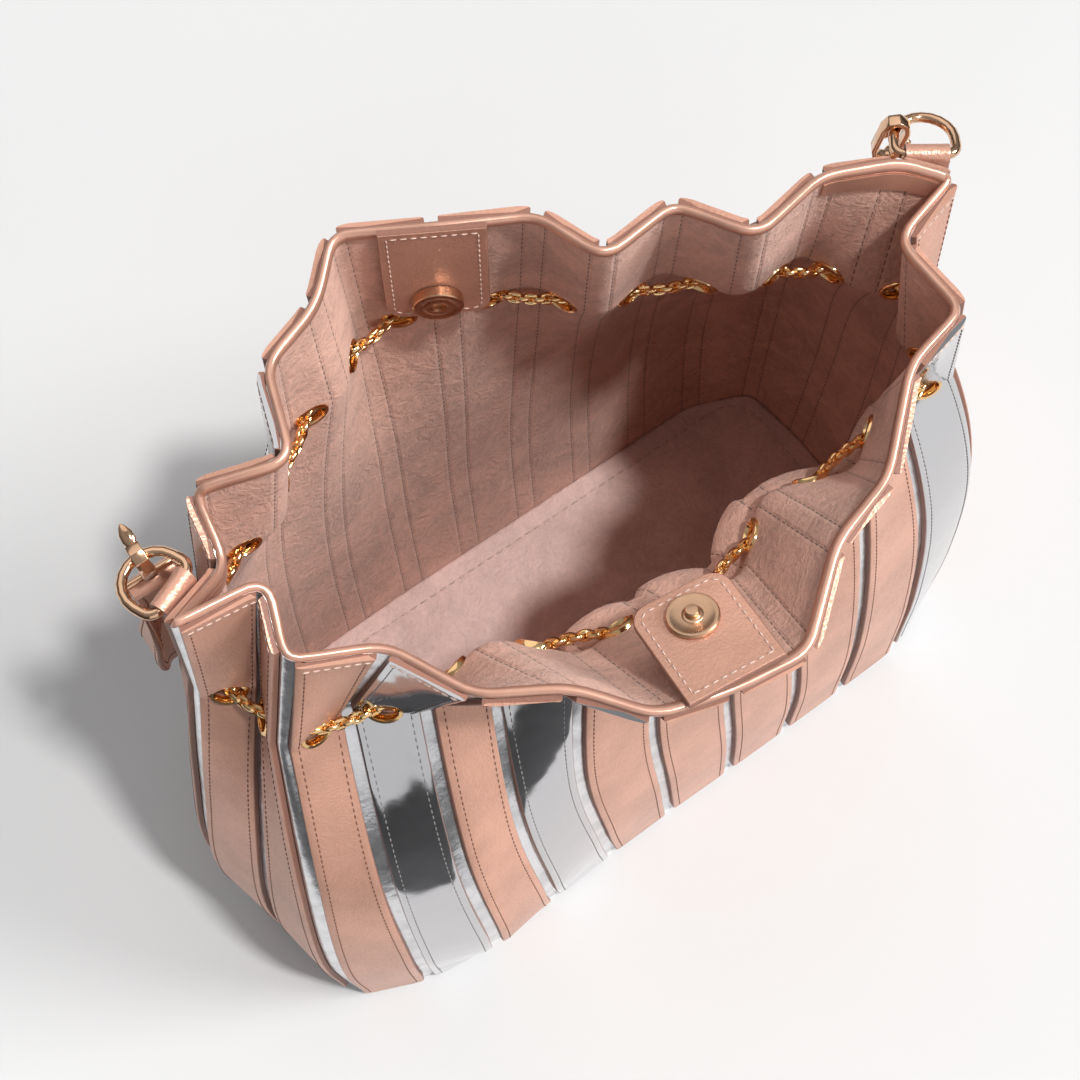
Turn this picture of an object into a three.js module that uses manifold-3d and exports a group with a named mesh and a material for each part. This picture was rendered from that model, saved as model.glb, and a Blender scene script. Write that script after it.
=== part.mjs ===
// Open drawstring handbag: a gathered leather wall covered with 28 upright strips, a chain laced
// through holes in the strips, two closing tabs with snaps, and a shoulder strap on two rings.
// Millimetres. X runs along the bag, Y to its back, Z up, and the bag stands on z = 0.
import * as THREE from 'three';
import { mergeVertices } from 'three/addons/utils/BufferGeometryUtils.js';
import Module from 'manifold-3d';

const wasm = await Module();
wasm.setup();

// Driving sizes of the wall.
const STRIP_GAP = 4.6;
const BASE_LENGTH = 310;
const BASE_DEPTH = 146;
const BASE_CORNER = 25;

// Leather layers of the wall, as distances outward from its middle surface.
const STRIP_LAYER = { inner: 1, outer: 2.4 };
const SHELL_LAYER = { inner: -0.6, outer: 0.6 };
const LINING_LAYER = { inner: -1.9, outer: -0.9 };
const MITER_LIMIT = 0.62;
const BASE = { thickness: 3, gap: 0.8 };
const BINDING_HEIGHT = 3.6;
const STRIP_TOP_RISE = 0.8;
const LINING_FOOT_RISE = 1;

// Chain and the slots that it passes through. The chain lies inside the outward folds and
// outside the others, and its two ends meet behind the fold where it starts.
const CHAIN = { radius: 1.9, sides: 8, steps: 80, startFold: 12, endGap: 0.6 };
const CHAIN_SIDE_STEP = { outward: -1.5, inward: 1.5, flat: 6.5 };
const HOLE = { length: 17.6, height: 6.8, depth: 16 };

// Tabs: place and axes of the root edge's middle, then plate sizes.
const TABS = {
  front: { root: [-12.5, -104, 275.5], width: 35, length: 41, along: [35, -4, 0], down: [0.5, 39, -13] },
  back: { root: [-6.38, 71.63, 300], width: 36, length: 57, along: [-59, 34, 0], down: [0, 0, -1] },
};
const TAB = { corner: 7, thickness: 2.4, cornerSteps: 4 };
const SNAP = { radius: 8.8, gap: 0.3, edge: 0.8, sides: 16, fromEnd: 13 };
const SNAP_STUD = { radius: 2.4, rise: 2.2, plate: 2 };
const SNAP_SOCKET = { radius: 2.9, depth: 2.4, plate: 4 };

// Rings on leather loops at both ends, with the hooks of the shoulder strap. Lean is the angle of a
// ring below the level, and swing the way round the ring at which its hook pulls.
const RING = { halfWidth: 10.5, straight: 7.5, wire: 1.3, arcSteps: 9, sides: 6 };
const LOOP = { gap: 1.7, bore: 1.75, outer: 3.6, arcSteps: 10 };
const LOOP_TAIL = { width: 15, length: 20, thickness: 1.8, drop: 3 };
const HOOK = { bend: 3.4, straight: 11, wire: 1.4, arcSteps: 3, overlap: 1.2, clearance: 0.4 };
const BARREL = { radius: 2.8, length: 8, sides: 8 };
const EYE = { halfWidth: 11.5, depth: 7, wire: 1.3, corner: 1.5 };
const ENDS = [
  { side: 'left', strip: 27, lean: 8, swing: 26, pull: [0.1, 0.1, -1] },
  { side: 'right', strip: 12, lean: 0, swing: -60, pull: [0, 0.1, -1] },
];
const STRAP = { width: 18, thickness: 2.4, steps: 34, fall: 24, outer: 3.8, bore: 1.75, boreSides: 10 };

// Route of the strap's middle line behind the bag, between its two eyes, with the way of its width.
const STRAP_ROUTE = [
  { place: [-147, 43, 205], across: [0.3, 0.9, 0] },
  { place: [-149, 54, 160], across: [0, 0.8, 0.5] },
  { place: [-140, 74, 112], across: [0, 0.4, 0.9] },
  { place: [-108, 88, 62], across: [0, 0, 1] },
  { place: [-58, 90, 20], across: [0, 0, 1] },
  { place: [0, 90, 10.5], across: [0, 0, 1] },
  { place: [58, 90, 20], across: [0, 0, 1] },
  { place: [108, 90, 62], across: [0, 0, 1] },
  { place: [148, 80, 112], across: [0, 0.4, 0.9] },
  { place: [161, 54, 160], across: [0, 0.8, 0.5] },
  { place: [157, 40, 200], across: [0.4, 0.9, 0] },
];

// Heights of the wall between the floor and the neck: swell is the share of each fold's belly, drift
// the share of its slide, and gather is how far the outline has turned into the gathered neck.
const SECTIONS = [
  { level: 'floor', rise: 0, swell: 0.3, drift: 0, gather: 0 },
  { level: 'strip foot', rise: 5, swell: 0.3, drift: 0, gather: 0 },
  { level: 'belly', rise: 75, swell: 1, drift: 0.5, gather: 0.02 },
  { level: 'shoulder', rise: 158, swell: 0.75, drift: 1, gather: 0.3 },
];
const NECK_ROW = SECTIONS.length;
const RIM_ROW = NECK_ROW + 2;

// The 28 folds, clockwise from above, with the strip that follows each. A fold turns outward,
// inward or lies flat. Columns: bulge of the belly, slide along the wall, place on the neck and on the rim.
const FOLDS = [
  { strip: 'back_01', turn: 'inward', belly: 0, slide: 0, neck: [-127, 20, 230], rim: [-121, 23, 270] },
  { strip: 'back_02', turn: 'outward', belly: -12, slide: 0, neck: [-124, 43, 232], rim: [-117, 46, 284] },
  { strip: 'back_03', turn: 'inward', belly: -9, slide: 0, neck: [-92, 40, 233], rim: [-87, 34, 290] },
  { strip: 'back_04', turn: 'outward', belly: 0, slide: 0, neck: [-76, 70, 234], rim: [-76, 66, 290] },
  { strip: 'back_05', turn: 'inward', belly: 4, slide: 0, neck: [-50, 68, 234], rim: [-51, 75, 290] },
  { strip: 'back_06', turn: 'outward', belly: 6, slide: 0, neck: [-31, 91, 233], rim: [-33, 92, 294] },
  { strip: 'back_07', turn: 'flat', belly: 6, slide: 0, neck: [-1, 76, 231], rim: [-5, 74, 297] },
  { strip: 'back_08', turn: 'outward', belly: 6, slide: 0, neck: [31, 69, 229], rim: [26, 58, 296] },
  { strip: 'back_09', turn: 'inward', belly: 6, slide: 0, neck: [42, 44, 228], rim: [34, 32, 298] },
  { strip: 'back_10', turn: 'outward', belly: 6, slide: 0, neck: [73, 48, 226], rim: [65, 37, 294] },
  { strip: 'back_11', turn: 'inward', belly: 6, slide: 0, neck: [91, 22, 224], rim: [80, 11, 296] },
  { strip: 'back_12', turn: 'outward', belly: 6, slide: 0, neck: [120, 26, 222], rim: [113, 19, 290] },
  { strip: 'right_ring', turn: 'inward', belly: 6, slide: 0, neck: [129, 0, 221], rim: [141, 10, 284] },
  { strip: 'front_01', turn: 'outward', belly: 6, slide: 0, neck: [150, -12, 221], rim: [156, -4, 278] },
  { strip: 'front_02', turn: 'inward', belly: 6, slide: 1, neck: [126, -22, 221], rim: [127, -11, 274] },
  { strip: 'front_03', turn: 'outward', belly: 2, slide: 3, neck: [136, -45, 221], rim: [129, -43, 272] },
  { strip: 'front_04', turn: 'inward', belly: 0, slide: 6, neck: [109, -37, 222], rim: [101, -50, 274] },
  { strip: 'front_05', turn: 'outward', belly: 3, slide: 9, neck: [82, -57, 223], rim: [72, -76, 268] },
  { strip: 'front_06', turn: 'inward', belly: 5, slide: 12, neck: [49, -44, 224], rim: [43, -85, 272] },
  { strip: 'front_07', turn: 'outward', belly: 6, slide: 18, neck: [26, -66, 225], rim: [14, -108, 268] },
  { strip: 'front_08', turn: 'flat', belly: 6, slide: 20, neck: [-4, -56, 226], rim: [-14, -105, 272] },
  { strip: 'front_09', turn: 'outward', belly: 8, slide: 22, neck: [-37, -57, 226], rim: [-39, -98, 272] },
  { strip: 'front_10', turn: 'inward', belly: 13, slide: 19, neck: [-60, -33, 226], rim: [-56, -76, 274] },
  { strip: 'front_11', turn: 'outward', belly: 18, slide: 13, neck: [-89, -41, 227], rim: [-81, -60, 272] },
  { strip: 'front_12', turn: 'inward', belly: 6, slide: 8, neck: [-110, -23, 228], rim: [-95, -31, 274] },
  { strip: 'front_13', turn: 'outward', belly: 7, slide: 2, neck: [-138, -27, 229], rim: [-124, -18, 278] },
  { strip: 'front_14', turn: 'inward', belly: 8, slide: -2, neck: [-126, -3, 230], rim: [-115, 4, 288] },
  { strip: 'left_ring', turn: 'outward', belly: 16, slide: 0, neck: [-151, 8, 230], rim: [-149, 7, 290] },
];
const SILVER_STRIPS = ['back_03', 'front_03', 'front_09', 'front_11'];
const FRONT_CENTRE_FOLD = 20;
const COLUMNS = FOLDS.length * 2;

// Section of the rim binding: out from the wall's middle surface, and up along the wall.
const BINDING_SECTION = [
  { out: -2.4, up: -2.5 },
  { out: 0.4, up: -2.5 },
  { out: 0.4, up: 0.2 },
  { out: -1, up: 1.4 },
  { out: -2.4, up: 0.2 },
];

const COLOURS = {
  rose: { color: 0xc99a86, roughness: 0.42, metalness: 0.35 },
  mirror: { color: 0xe4e4e6, roughness: 0.08, metalness: 0.9 },
  silver: { color: 0xb9b9bb, roughness: 0.4, metalness: 0.6 },
  suede: { color: 0xb98f80, roughness: 0.95, metalness: 0 },
  binding: { color: 0xd7a592, roughness: 0.28, metalness: 0.45 },
  gold: { color: 0xd9a860, roughness: 0.18, metalness: 1 },
};

const bag = new THREE.Group();

function addPiece(name, geometry, colour) {
  const mesh = new THREE.Mesh(geometry, new THREE.MeshStandardMaterial(COLOURS[colour]));
  mesh.name = name;
  bag.add(mesh);
}

function meshGeometry(points, triangles) {
  const geometry = new THREE.BufferGeometry();
  const places = points.flatMap((point) => point.toArray());
  geometry.setAttribute('position', new THREE.Float32BufferAttribute(places, 3));
  geometry.setIndex(triangles);
  return geometry;
}

// Solids for joining and cutting.
const WELD_DISTANCE = 1e-4;
function solidOf(geometry) {
  const bare = geometry.clone();
  bare.deleteAttribute('normal');
  bare.deleteAttribute('uv');
  const merged = mergeVertices(bare, WELD_DISTANCE);
  const vertProperties = new Float32Array(merged.attributes.position.array);
  const triVerts = new Uint32Array(merged.index.array);
  return new wasm.Manifold(new wasm.Mesh({ numProp: 3, vertProperties, triVerts }));
}

function geometryOf(solid) {
  const mesh = solid.getMesh();
  const geometry = new THREE.BufferGeometry();
  geometry.setAttribute('position', new THREE.BufferAttribute(mesh.vertProperties, mesh.numProp));
  geometry.setIndex(new THREE.BufferAttribute(mesh.triVerts, 1));
  return geometry;
}

const joined = (...pieces) => geometryOf(pieces.map(solidOf).reduce((whole, piece) => whole.add(piece)));
const cutBy = (geometry, cutters) =>
  geometryOf(cutters.map(solidOf).reduce((rest, cutter) => rest.subtract(cutter), solidOf(geometry)));

const vec = (list) => new THREE.Vector3(...list);
const direction = (from, to) => to.clone().sub(from).normalize();
const wrapped = (index, count) => (index + count) % count;

// Base outline, clockwise from above and starting at the middle of the front.
function baseOutline() {
  const x = BASE_LENGTH / 2 - BASE_CORNER;
  const y = BASE_DEPTH / 2 - BASE_CORNER;
  const path = new THREE.Path();
  path.moveTo(0, -BASE_DEPTH / 2);
  path.lineTo(-x, -BASE_DEPTH / 2);
  path.absarc(-x, -y, BASE_CORNER, -Math.PI / 2, -Math.PI, true);
  path.absarc(-x, y, BASE_CORNER, Math.PI, Math.PI / 2, true);
  path.absarc(x, y, BASE_CORNER, Math.PI / 2, 0, true);
  path.absarc(x, -y, BASE_CORNER, 0, -Math.PI / 2, true);
  path.lineTo(0, -BASE_DEPTH / 2);
  return path;
}

// Fold points row by row, from the floor to the rim.
function foldRows() {
  const outline = baseOutline();
  const rows = SECTIONS.map(({ rise, swell, drift, gather }) =>
    FOLDS.map((fold, k) => {
      const u = wrapped(k - FRONT_CENTRE_FOLD, FOLDS.length) / FOLDS.length;
      const place = outline.getPointAt(u);
      const along = outline.getTangentAt(u);
      const bulge = fold.belly * swell;
      place.addScaledVector(along, fold.slide * drift);
      const body = new THREE.Vector3(place.x - along.y * bulge, place.y + along.x * bulge, rise);
      return body.lerp(vec([fold.neck[0], fold.neck[1], rise]), gather);
    }));
  rows.push(FOLDS.map((fold) => vec(fold.neck)));
  const rim = FOLDS.map((fold) => vec(fold.rim));
  const top = FOLDS.map((fold, k) => {
    const down = direction(rim[k], vec(fold.neck));
    return rim[k].clone().addScaledVector(down, BINDING_HEIGHT);
  });
  rows.push(top, rim);
  return rows;
}

// Every fold becomes two columns, the facing edges of the strips beside it.
function wallGrid() {
  return foldRows().map((row) =>
    row.flatMap((point, k) => {
      const before = direction(row[wrapped(k - 1, row.length)], point);
      const after = direction(point, row[wrapped(k + 1, row.length)]);
      const along = before.add(after).normalize();
      return [-0.5, 0.5].map((side) => point.clone().addScaledVector(along, side * STRIP_GAP));
    }));
}

const wall = wallGrid();

// Upward and outward directions of the wall at a grid point, and the stretch of a mitred corner.
function wallFrame(row, column) {
  const here = wall[row][column];
  const up = new THREE.Vector3();
  if (row > 0) up.add(direction(wall[row - 1][column], here));
  if (row < RIM_ROW) up.add(direction(here, wall[row + 1][column]));
  up.normalize();
  if (row === 0) up.set(0, 0, 1);
  const before = direction(wall[row][wrapped(column - 1, COLUMNS)], here);
  const after = direction(here, wall[row][wrapped(column + 1, COLUMNS)]);
  const faceBefore = up.clone().cross(before).normalize();
  const faceAfter = up.clone().cross(after).normalize();
  const out = faceBefore.clone().add(faceAfter).normalize();
  const stretch = 1 / Math.max(MITER_LIMIT, out.dot(faceAfter));
  return { here, up, out, stretch };
}

function wallPoint(row, column, distance, rise = 0) {
  const { here, up, out, stretch } = wallFrame(row, wrapped(column, COLUMNS));
  return here.clone().addScaledVector(out, distance * stretch).addScaledVector(up, rise);
}

// A closed wall between two distances from the middle surface, over some rows and columns. Lifts hold
// the rise of single rows.
function wallSolid({ columns, rows, layer, lifts, closed }) {
  const points = [];
  for (const row of rows) {
    const rise = lifts[row] ?? 0;
    for (const column of columns) points.push(wallPoint(row, column, layer.outer, rise));
    for (const column of columns) points.push(wallPoint(row, column, layer.inner, rise));
  }
  const count = columns.length;
  const spans = closed ? count : count - 1;
  const outer = (i, c) => i * count * 2 + (c % count);
  const inner = (i, c) => outer(i, c) + count;
  const triangles = [];
  const quad = (a, b, c, d) => triangles.push(a, b, c, a, c, d);
  const top = rows.length - 1;
  for (let c = 0; c < spans; c += 1) {
    for (let i = 0; i < top; i += 1) {
      quad(outer(i, c + 1), outer(i, c), outer(i + 1, c), outer(i + 1, c + 1));
      quad(inner(i, c + 1), inner(i + 1, c + 1), inner(i + 1, c), inner(i, c));
    }
    quad(outer(0, c), outer(0, c + 1), inner(0, c + 1), inner(0, c));
    quad(outer(top, c + 1), outer(top, c), inner(top, c), inner(top, c + 1));
  }
  if (!closed) {
    for (let i = 0; i < top; i += 1) {
      quad(outer(i, 0), inner(i, 0), inner(i + 1, 0), outer(i + 1, 0));
      quad(inner(i, spans), outer(i, spans), outer(i + 1, spans), inner(i + 1, spans));
    }
  }
  return meshGeometry(points, triangles);
}

// Middle of strip k in a row: its place, the way along the bag, and the up and out directions.
function stripFrame(k, row) {
  const left = wall[row][wrapped(2 * k + 1, COLUMNS)];
  const right = wall[row][wrapped(2 * k + 2, COLUMNS)];
  const middle = left.clone().add(right).multiplyScalar(0.5);
  const along = direction(left, right);
  const frame = wallFrame(row, wrapped(2 * k + 1, COLUMNS));
  const out = frame.up.clone().cross(along).normalize();
  const up = along.clone().cross(out).normalize();
  return { middle, along, up, out };
}

function placed(geometry, xAxis, yAxis, zAxis, origin) {
  const matrix = new THREE.Matrix4().makeBasis(xAxis, yAxis, zAxis).setPosition(origin);
  return geometry.clone().applyMatrix4(matrix);
}

// Slot across the middle of a strip.
function holeCutter(k) {
  const { middle, along, up, out } = stripFrame(k, NECK_ROW);
  const bar = new THREE.BoxGeometry(HOLE.length, HOLE.height, HOLE.depth);
  return placed(bar, along.clone().negate(), up, out, middle);
}

const holeCutters = FOLDS.map((fold, k) => holeCutter(k));

function addWall() {
  const everyColumn = [...Array(COLUMNS).keys()];
  const everyRow = [...Array(RIM_ROW + 1).keys()];
  const ring = { columns: everyColumn, rows: everyRow.slice(0, RIM_ROW), lifts: {}, closed: true };
  const lining = { ...ring, layer: LINING_LAYER, lifts: { 0: LINING_FOOT_RISE } };
  addPiece('shell', cutBy(wallSolid({ ...ring, layer: SHELL_LAYER }), holeCutters), 'silver');
  addPiece('lining', cutBy(wallSolid(lining), holeCutters), 'suede');
  FOLDS.forEach((fold, k) => {
    const columns = [2 * k + 1, 2 * k + 2];
    const band = { columns, rows: everyRow.slice(1), lifts: { [RIM_ROW]: STRIP_TOP_RISE }, closed: false };
    const strip = wallSolid({ ...band, layer: STRIP_LAYER });
    const colour = SILVER_STRIPS.includes(fold.strip) ? 'mirror' : 'rose';
    addPiece(`strip_${fold.strip}`, cutBy(strip, [holeCutters[k]]), colour);
  });
}

function addBinding() {
  const count = BINDING_SECTION.length;
  const points = [];
  for (let column = 0; column < COLUMNS; column += 1) {
    for (const { out, up } of BINDING_SECTION) points.push(wallPoint(RIM_ROW, column, out, up));
  }
  const triangles = [];
  for (let column = 0; column < COLUMNS; column += 1) {
    for (let i = 0; i < count; i += 1) {
      const a = column * count + i;
      const b = column * count + ((i + 1) % count);
      const c = wrapped(column + 1, COLUMNS) * count + ((i + 1) % count);
      const d = wrapped(column + 1, COLUMNS) * count + i;
      triangles.push(a, b, c, a, c, d);
    }
  }
  addPiece('rim_binding', meshGeometry(points, triangles), 'binding');
}

// Stiff base inside the foot of the wall.
function addBase() {
  const edge = FOLDS.map((fold, k) => wallPoint(0, 2 * k, LINING_LAYER.inner - BASE.gap));
  const outline = new THREE.Shape(edge.map((point) => new THREE.Vector2(point.x, point.y)));
  const plate = new THREE.ExtrudeGeometry(outline, { depth: BASE.thickness, bevelEnabled: false });
  addPiece('base_panel', plate, 'suede');
}

function polygon(radius, sides) {
  const centre = new THREE.Vector2();
  const corner = (i) => new THREE.Vector2(radius, 0).rotateAround(centre, (i * 2 * Math.PI) / sides);
  return [...Array(sides).keys()].map(corner);
}

// Chain through the slot in every strip, between the folds' inner and outer sides.
function addChain() {
  const count = FOLDS.length;
  const slot = (k) => stripFrame(wrapped(k, count), NECK_ROW).middle;
  const bend = (k) => {
    const { out } = wallFrame(NECK_ROW, 2 * k);
    const middle = slot(k - 1).lerp(slot(k), 0.5);
    return middle.addScaledVector(out.setZ(0).normalize(), CHAIN_SIDE_STEP[FOLDS[k].turn]);
  };
  const start = bend(CHAIN.startFold);
  const way = direction(slot(CHAIN.startFold - 1), slot(CHAIN.startFold));
  const route = [start.clone().addScaledVector(way, CHAIN.endGap / 2)];
  for (let i = 0; i < count; i += 1) {
    const k = wrapped(CHAIN.startFold + i, count);
    if (i > 0) route.push(bend(k));
    route.push(slot(k));
  }
  route.push(start.clone().addScaledVector(way, -CHAIN.endGap / 2));
  const tube = new THREE.ExtrudeGeometry(new THREE.Shape(polygon(CHAIN.radius, CHAIN.sides)), {
    steps: CHAIN.steps,
    extrudePath: new THREE.CatmullRomCurve3(route),
    bevelEnabled: false,
  });
  addPiece('draw_chain', tube, 'gold');
}

// A tab plate with two rounded corners at its free end, and a snap near that end.
function addTab(name, { root, width, length, along, down }, snapProfile) {
  const half = width / 2;
  const shape = new THREE.Shape();
  shape.moveTo(-half, 0);
  shape.lineTo(half, 0);
  shape.absarc(half - TAB.corner, length - TAB.corner, TAB.corner, 0, Math.PI / 2, false);
  shape.absarc(-half + TAB.corner, length - TAB.corner, TAB.corner, Math.PI / 2, Math.PI, false);
  const settings = { depth: TAB.thickness, bevelEnabled: false, curveSegments: TAB.cornerSteps };
  const plate = new THREE.ExtrudeGeometry(shape, settings);
  const xAxis = vec(along).normalize();
  const zAxis = xAxis.clone().cross(vec(down)).normalize();
  const yAxis = zAxis.clone().cross(xAxis);
  addPiece(`tab_${name}`, placed(plate, xAxis, yAxis, zAxis, vec(root)), 'rose');
  const snap = new THREE.LatheGeometry(snapProfile, SNAP.sides);
  snap.rotateX(Math.PI / 2);
  const seat = vec(root).addScaledVector(yAxis, length - SNAP.fromEnd);
  seat.addScaledVector(zAxis, TAB.thickness + SNAP.gap);
  addPiece(`snap_${name}`, placed(snap, xAxis, yAxis, zAxis, seat), 'gold');
}

const profile = (points) => points.map(([x, y]) => new THREE.Vector2(x, y));

function addTabs() {
  const r = SNAP.radius;
  const { radius: stud, rise, plate } = SNAP_STUD;
  const { radius: socket, depth, plate: body } = SNAP_SOCKET;
  const studFace = [[stud, plate], [stud, plate + rise], [0, plate + rise]];
  const socketFace = [[socket, body], [socket, body - depth], [0, body - depth]];
  const disc = (height) => [[0, 0], [r, 0], [r, height - SNAP.edge], [r - SNAP.edge, height]];
  addTab('front', TABS.front, profile([...disc(plate), ...studFace]));
  addTab('back', TABS.back, profile([...disc(body), ...socketFace]));
}

// A round wire along a closed, anticlockwise run of points in the XY plane.
function wireLoop(spots, wire, sides) {
  const count = spots.length;
  const section = polygon(wire, sides);
  const points = [];
  const triangles = [];
  spots.forEach((spot, i) => {
    const ahead = spots[wrapped(i + 1, count)].clone().sub(spots[wrapped(i - 1, count)]).normalize();
    for (const { x, y } of section) {
      points.push(new THREE.Vector3(spot.x + ahead.y * x, spot.y - ahead.x * x, y));
    }
    for (let j = 0; j < sides; j += 1) {
      const a = i * sides + j;
      const b = i * sides + ((j + 1) % sides);
      const c = wrapped(i + 1, count) * sides + ((j + 1) % sides);
      const d = wrapped(i + 1, count) * sides + j;
      triangles.push(a, c, b, a, d, c);
    }
  });
  return meshGeometry(points, triangles);
}

const arc = (x, y, radius, from, to) => new THREE.EllipseCurve(x, y, radius, radius, from, to);

function ringSpots() {
  const { halfWidth, straight, arcSteps } = RING;
  const bar = profile([[-halfWidth, 0], [-halfWidth / 3, 0], [halfWidth / 3, 0], [halfWidth, 0]]);
  return [...bar, ...arc(0, straight, halfWidth, 0, Math.PI).getPoints(arcSteps)];
}

function hookSpots() {
  const { bend, straight, arcSteps } = HOOK;
  const near = arc(0, 0, bend, Math.PI, 2 * Math.PI).getPoints(2 * arcSteps);
  return [...near, ...arc(0, straight, bend, 0, Math.PI).getPoints(2 * arcSteps)];
}

function eyeSpots() {
  const { halfWidth: w, depth: d, corner: c } = EYE;
  const rightHalf = [[w - c, 0], [w, c], [w, d - c], [w - c, d]];
  const leftHalf = [[c - w, d], [-w, d - c], [-w, c], [c - w, 0]];
  return profile([...rightHalf, ...leftHalf]);
}

// Leather loop: a tail against the strip, rolled at its top round the ring's straight bar.
function loopGeometry() {
  const near = STRIP_LAYER.outer + LOOP.gap;
  const centre = near + LOOP.outer;
  const start = Math.acos((near + LOOP_TAIL.thickness - centre) / LOOP.outer);
  const shape = new THREE.Shape();
  shape.moveTo(near, -LOOP_TAIL.drop - LOOP_TAIL.length);
  shape.lineTo(near + LOOP_TAIL.thickness, -LOOP_TAIL.drop - LOOP_TAIL.length);
  shape.absarc(centre, -LOOP_TAIL.drop, LOOP.outer, -start, Math.PI, false);
  shape.holes.push(new THREE.Path().absarc(centre, -LOOP_TAIL.drop, LOOP.bore, 0, 2 * Math.PI, true));
  const settings = { depth: LOOP_TAIL.width, bevelEnabled: false, curveSegments: LOOP.arcSteps };
  const loop = new THREE.ExtrudeGeometry(shape, settings);
  return loop.translate(0, 0, -LOOP_TAIL.width / 2);
}

// Ring, loop and hook at one end. Returns the middle and direction of the hook's strap bar.
function addEnd({ side, strip, lean, swing, pull: pullWay }) {
  const { middle, out } = stripFrame(strip, RIM_ROW);
  const along = out.clone().cross(new THREE.Vector3(0, 0, 1)).normalize();
  const up = along.clone().cross(out);
  addPiece(`ring_loop_${side}`, placed(loopGeometry(), out, up, along, middle), 'rose');
  const bar = middle.clone().addScaledVector(out, STRIP_LAYER.outer + LOOP.gap + LOOP.outer);
  bar.addScaledVector(up, -LOOP_TAIL.drop);
  const hang = out.clone().applyAxisAngle(along, -THREE.MathUtils.degToRad(lean));
  const ring = wireLoop(ringSpots(), RING.wire, RING.sides);
  const face = along.clone().cross(hang);
  addPiece(`ring_${side}`, placed(ring, along, hang, face, bar), 'gold');

  const turn = THREE.MathUtils.degToRad(swing);
  const reach = hang.clone().applyAxisAngle(face, -turn);
  const wireWay = along.clone().applyAxisAngle(face, -turn);
  const pull = vec(pullWay).projectOnPlane(wireWay).normalize();
  const sideways = wireWay.clone().cross(pull);
  const hookStart = bar.clone().addScaledVector(hang, RING.straight).addScaledVector(reach, RING.halfWidth);
  hookStart.addScaledVector(pull, HOOK.bend - RING.wire - HOOK.wire - HOOK.clearance);
  const hook = wireLoop(hookSpots(), HOOK.wire, RING.sides);
  const hookEnd = HOOK.straight + HOOK.bend - HOOK.overlap / 2;
  const barrel = new THREE.CylinderGeometry(BARREL.radius, BARREL.radius, BARREL.length, BARREL.sides);
  barrel.translate(0, hookEnd + BARREL.length / 2, 0);
  const eye = wireLoop(eyeSpots(), EYE.wire, RING.sides);
  const eyeStart = hookEnd + BARREL.length - HOOK.overlap / 2;
  const hookBody = placed(hook, sideways, pull, sideways.clone().cross(pull), hookStart);
  const barrelBody = placed(barrel, sideways, pull, sideways.clone().cross(pull), hookStart);
  const eyePlace = hookStart.clone().addScaledVector(pull, eyeStart);
  const eyeBody = placed(eye, wireWay, pull, wireWay.clone().cross(pull), eyePlace);
  addPiece(`hook_${side}`, joined(hookBody, barrelBody, eyeBody), 'gold');
  return { place: eyePlace.clone().addScaledVector(pull, EYE.depth), level: wireWay, pull };
}

// A round sleeve of strap leather about a hook's bar.
function strapSleeve({ place, level, pull }) {
  const shape = new THREE.Shape(polygon(STRAP.outer, STRAP.boreSides));
  shape.holes.push(new THREE.Path(polygon(STRAP.bore, STRAP.boreSides).reverse()));
  const sleeve = new THREE.ExtrudeGeometry(shape, { depth: STRAP.width, bevelEnabled: false });
  sleeve.translate(0, 0, -STRAP.width / 2);
  return placed(sleeve, pull.clone().cross(level), pull, level, place);
}

function addStrap(left, right) {
  const drops = [(STRAP.outer + STRAP.bore) / 2, STRAP.fall];
  const fallOf = ({ place, pull }) => drops.map((drop) => place.clone().addScaledVector(pull, drop));
  const ends = [left, right].map(fallOf);
  const places = [...ends[0], ...STRAP_ROUTE.map(({ place }) => vec(place)), ...ends[1].reverse()];
  const route = new THREE.CatmullRomCurve3(places);
  const widths = STRAP_ROUTE.map(({ across }) => vec(across));
  const ways = [left.level, left.level, ...widths, right.level, right.level];
  const points = [];
  const triangles = [];
  for (let i = 0; i <= STRAP.steps; i += 1) {
    const t = i / STRAP.steps;
    const ahead = route.getTangent(t);
    const spot = t * (ways.length - 1);
    const before = Math.min(Math.floor(spot), ways.length - 2);
    const across = ways[before].clone().lerp(ways[before + 1], spot - before);
    across.addScaledVector(ahead, -across.dot(ahead)).normalize();
    const face = ahead.clone().cross(across);
    for (const [a, b] of [[-1, -1], [1, -1], [1, 1], [-1, 1]]) {
      const point = route.getPoint(t).addScaledVector(across, (a * STRAP.width) / 2);
      points.push(point.addScaledVector(face, (b * STRAP.thickness) / 2));
    }
    if (i === 0) continue;
    for (let j = 0; j < 4; j += 1) {
      const a = (i - 1) * 4 + j;
      const b = (i - 1) * 4 + ((j + 1) % 4);
      triangles.push(a, b, b + 4, a, b + 4, a + 4);
    }
  }
  const last = STRAP.steps * 4;
  triangles.push(0, 2, 1, 0, 3, 2, last, last + 1, last + 2, last, last + 2, last + 3);
  const ribbon = meshGeometry(points, triangles);
  addPiece('shoulder_strap', joined(ribbon, strapSleeve(left), strapSleeve(right)), 'rose');
}

addWall();
addBinding();
addBase();
addChain();
addTabs();
addStrap(...ENDS.map(addEnd));

// The middle of the bag's box stands over the origin.
const middle = new THREE.Box3().setFromObject(bag).getCenter(new THREE.Vector3());
for (const piece of bag.children) piece.geometry.translate(-middle.x, -middle.y, 0);

export default bag;
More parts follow.
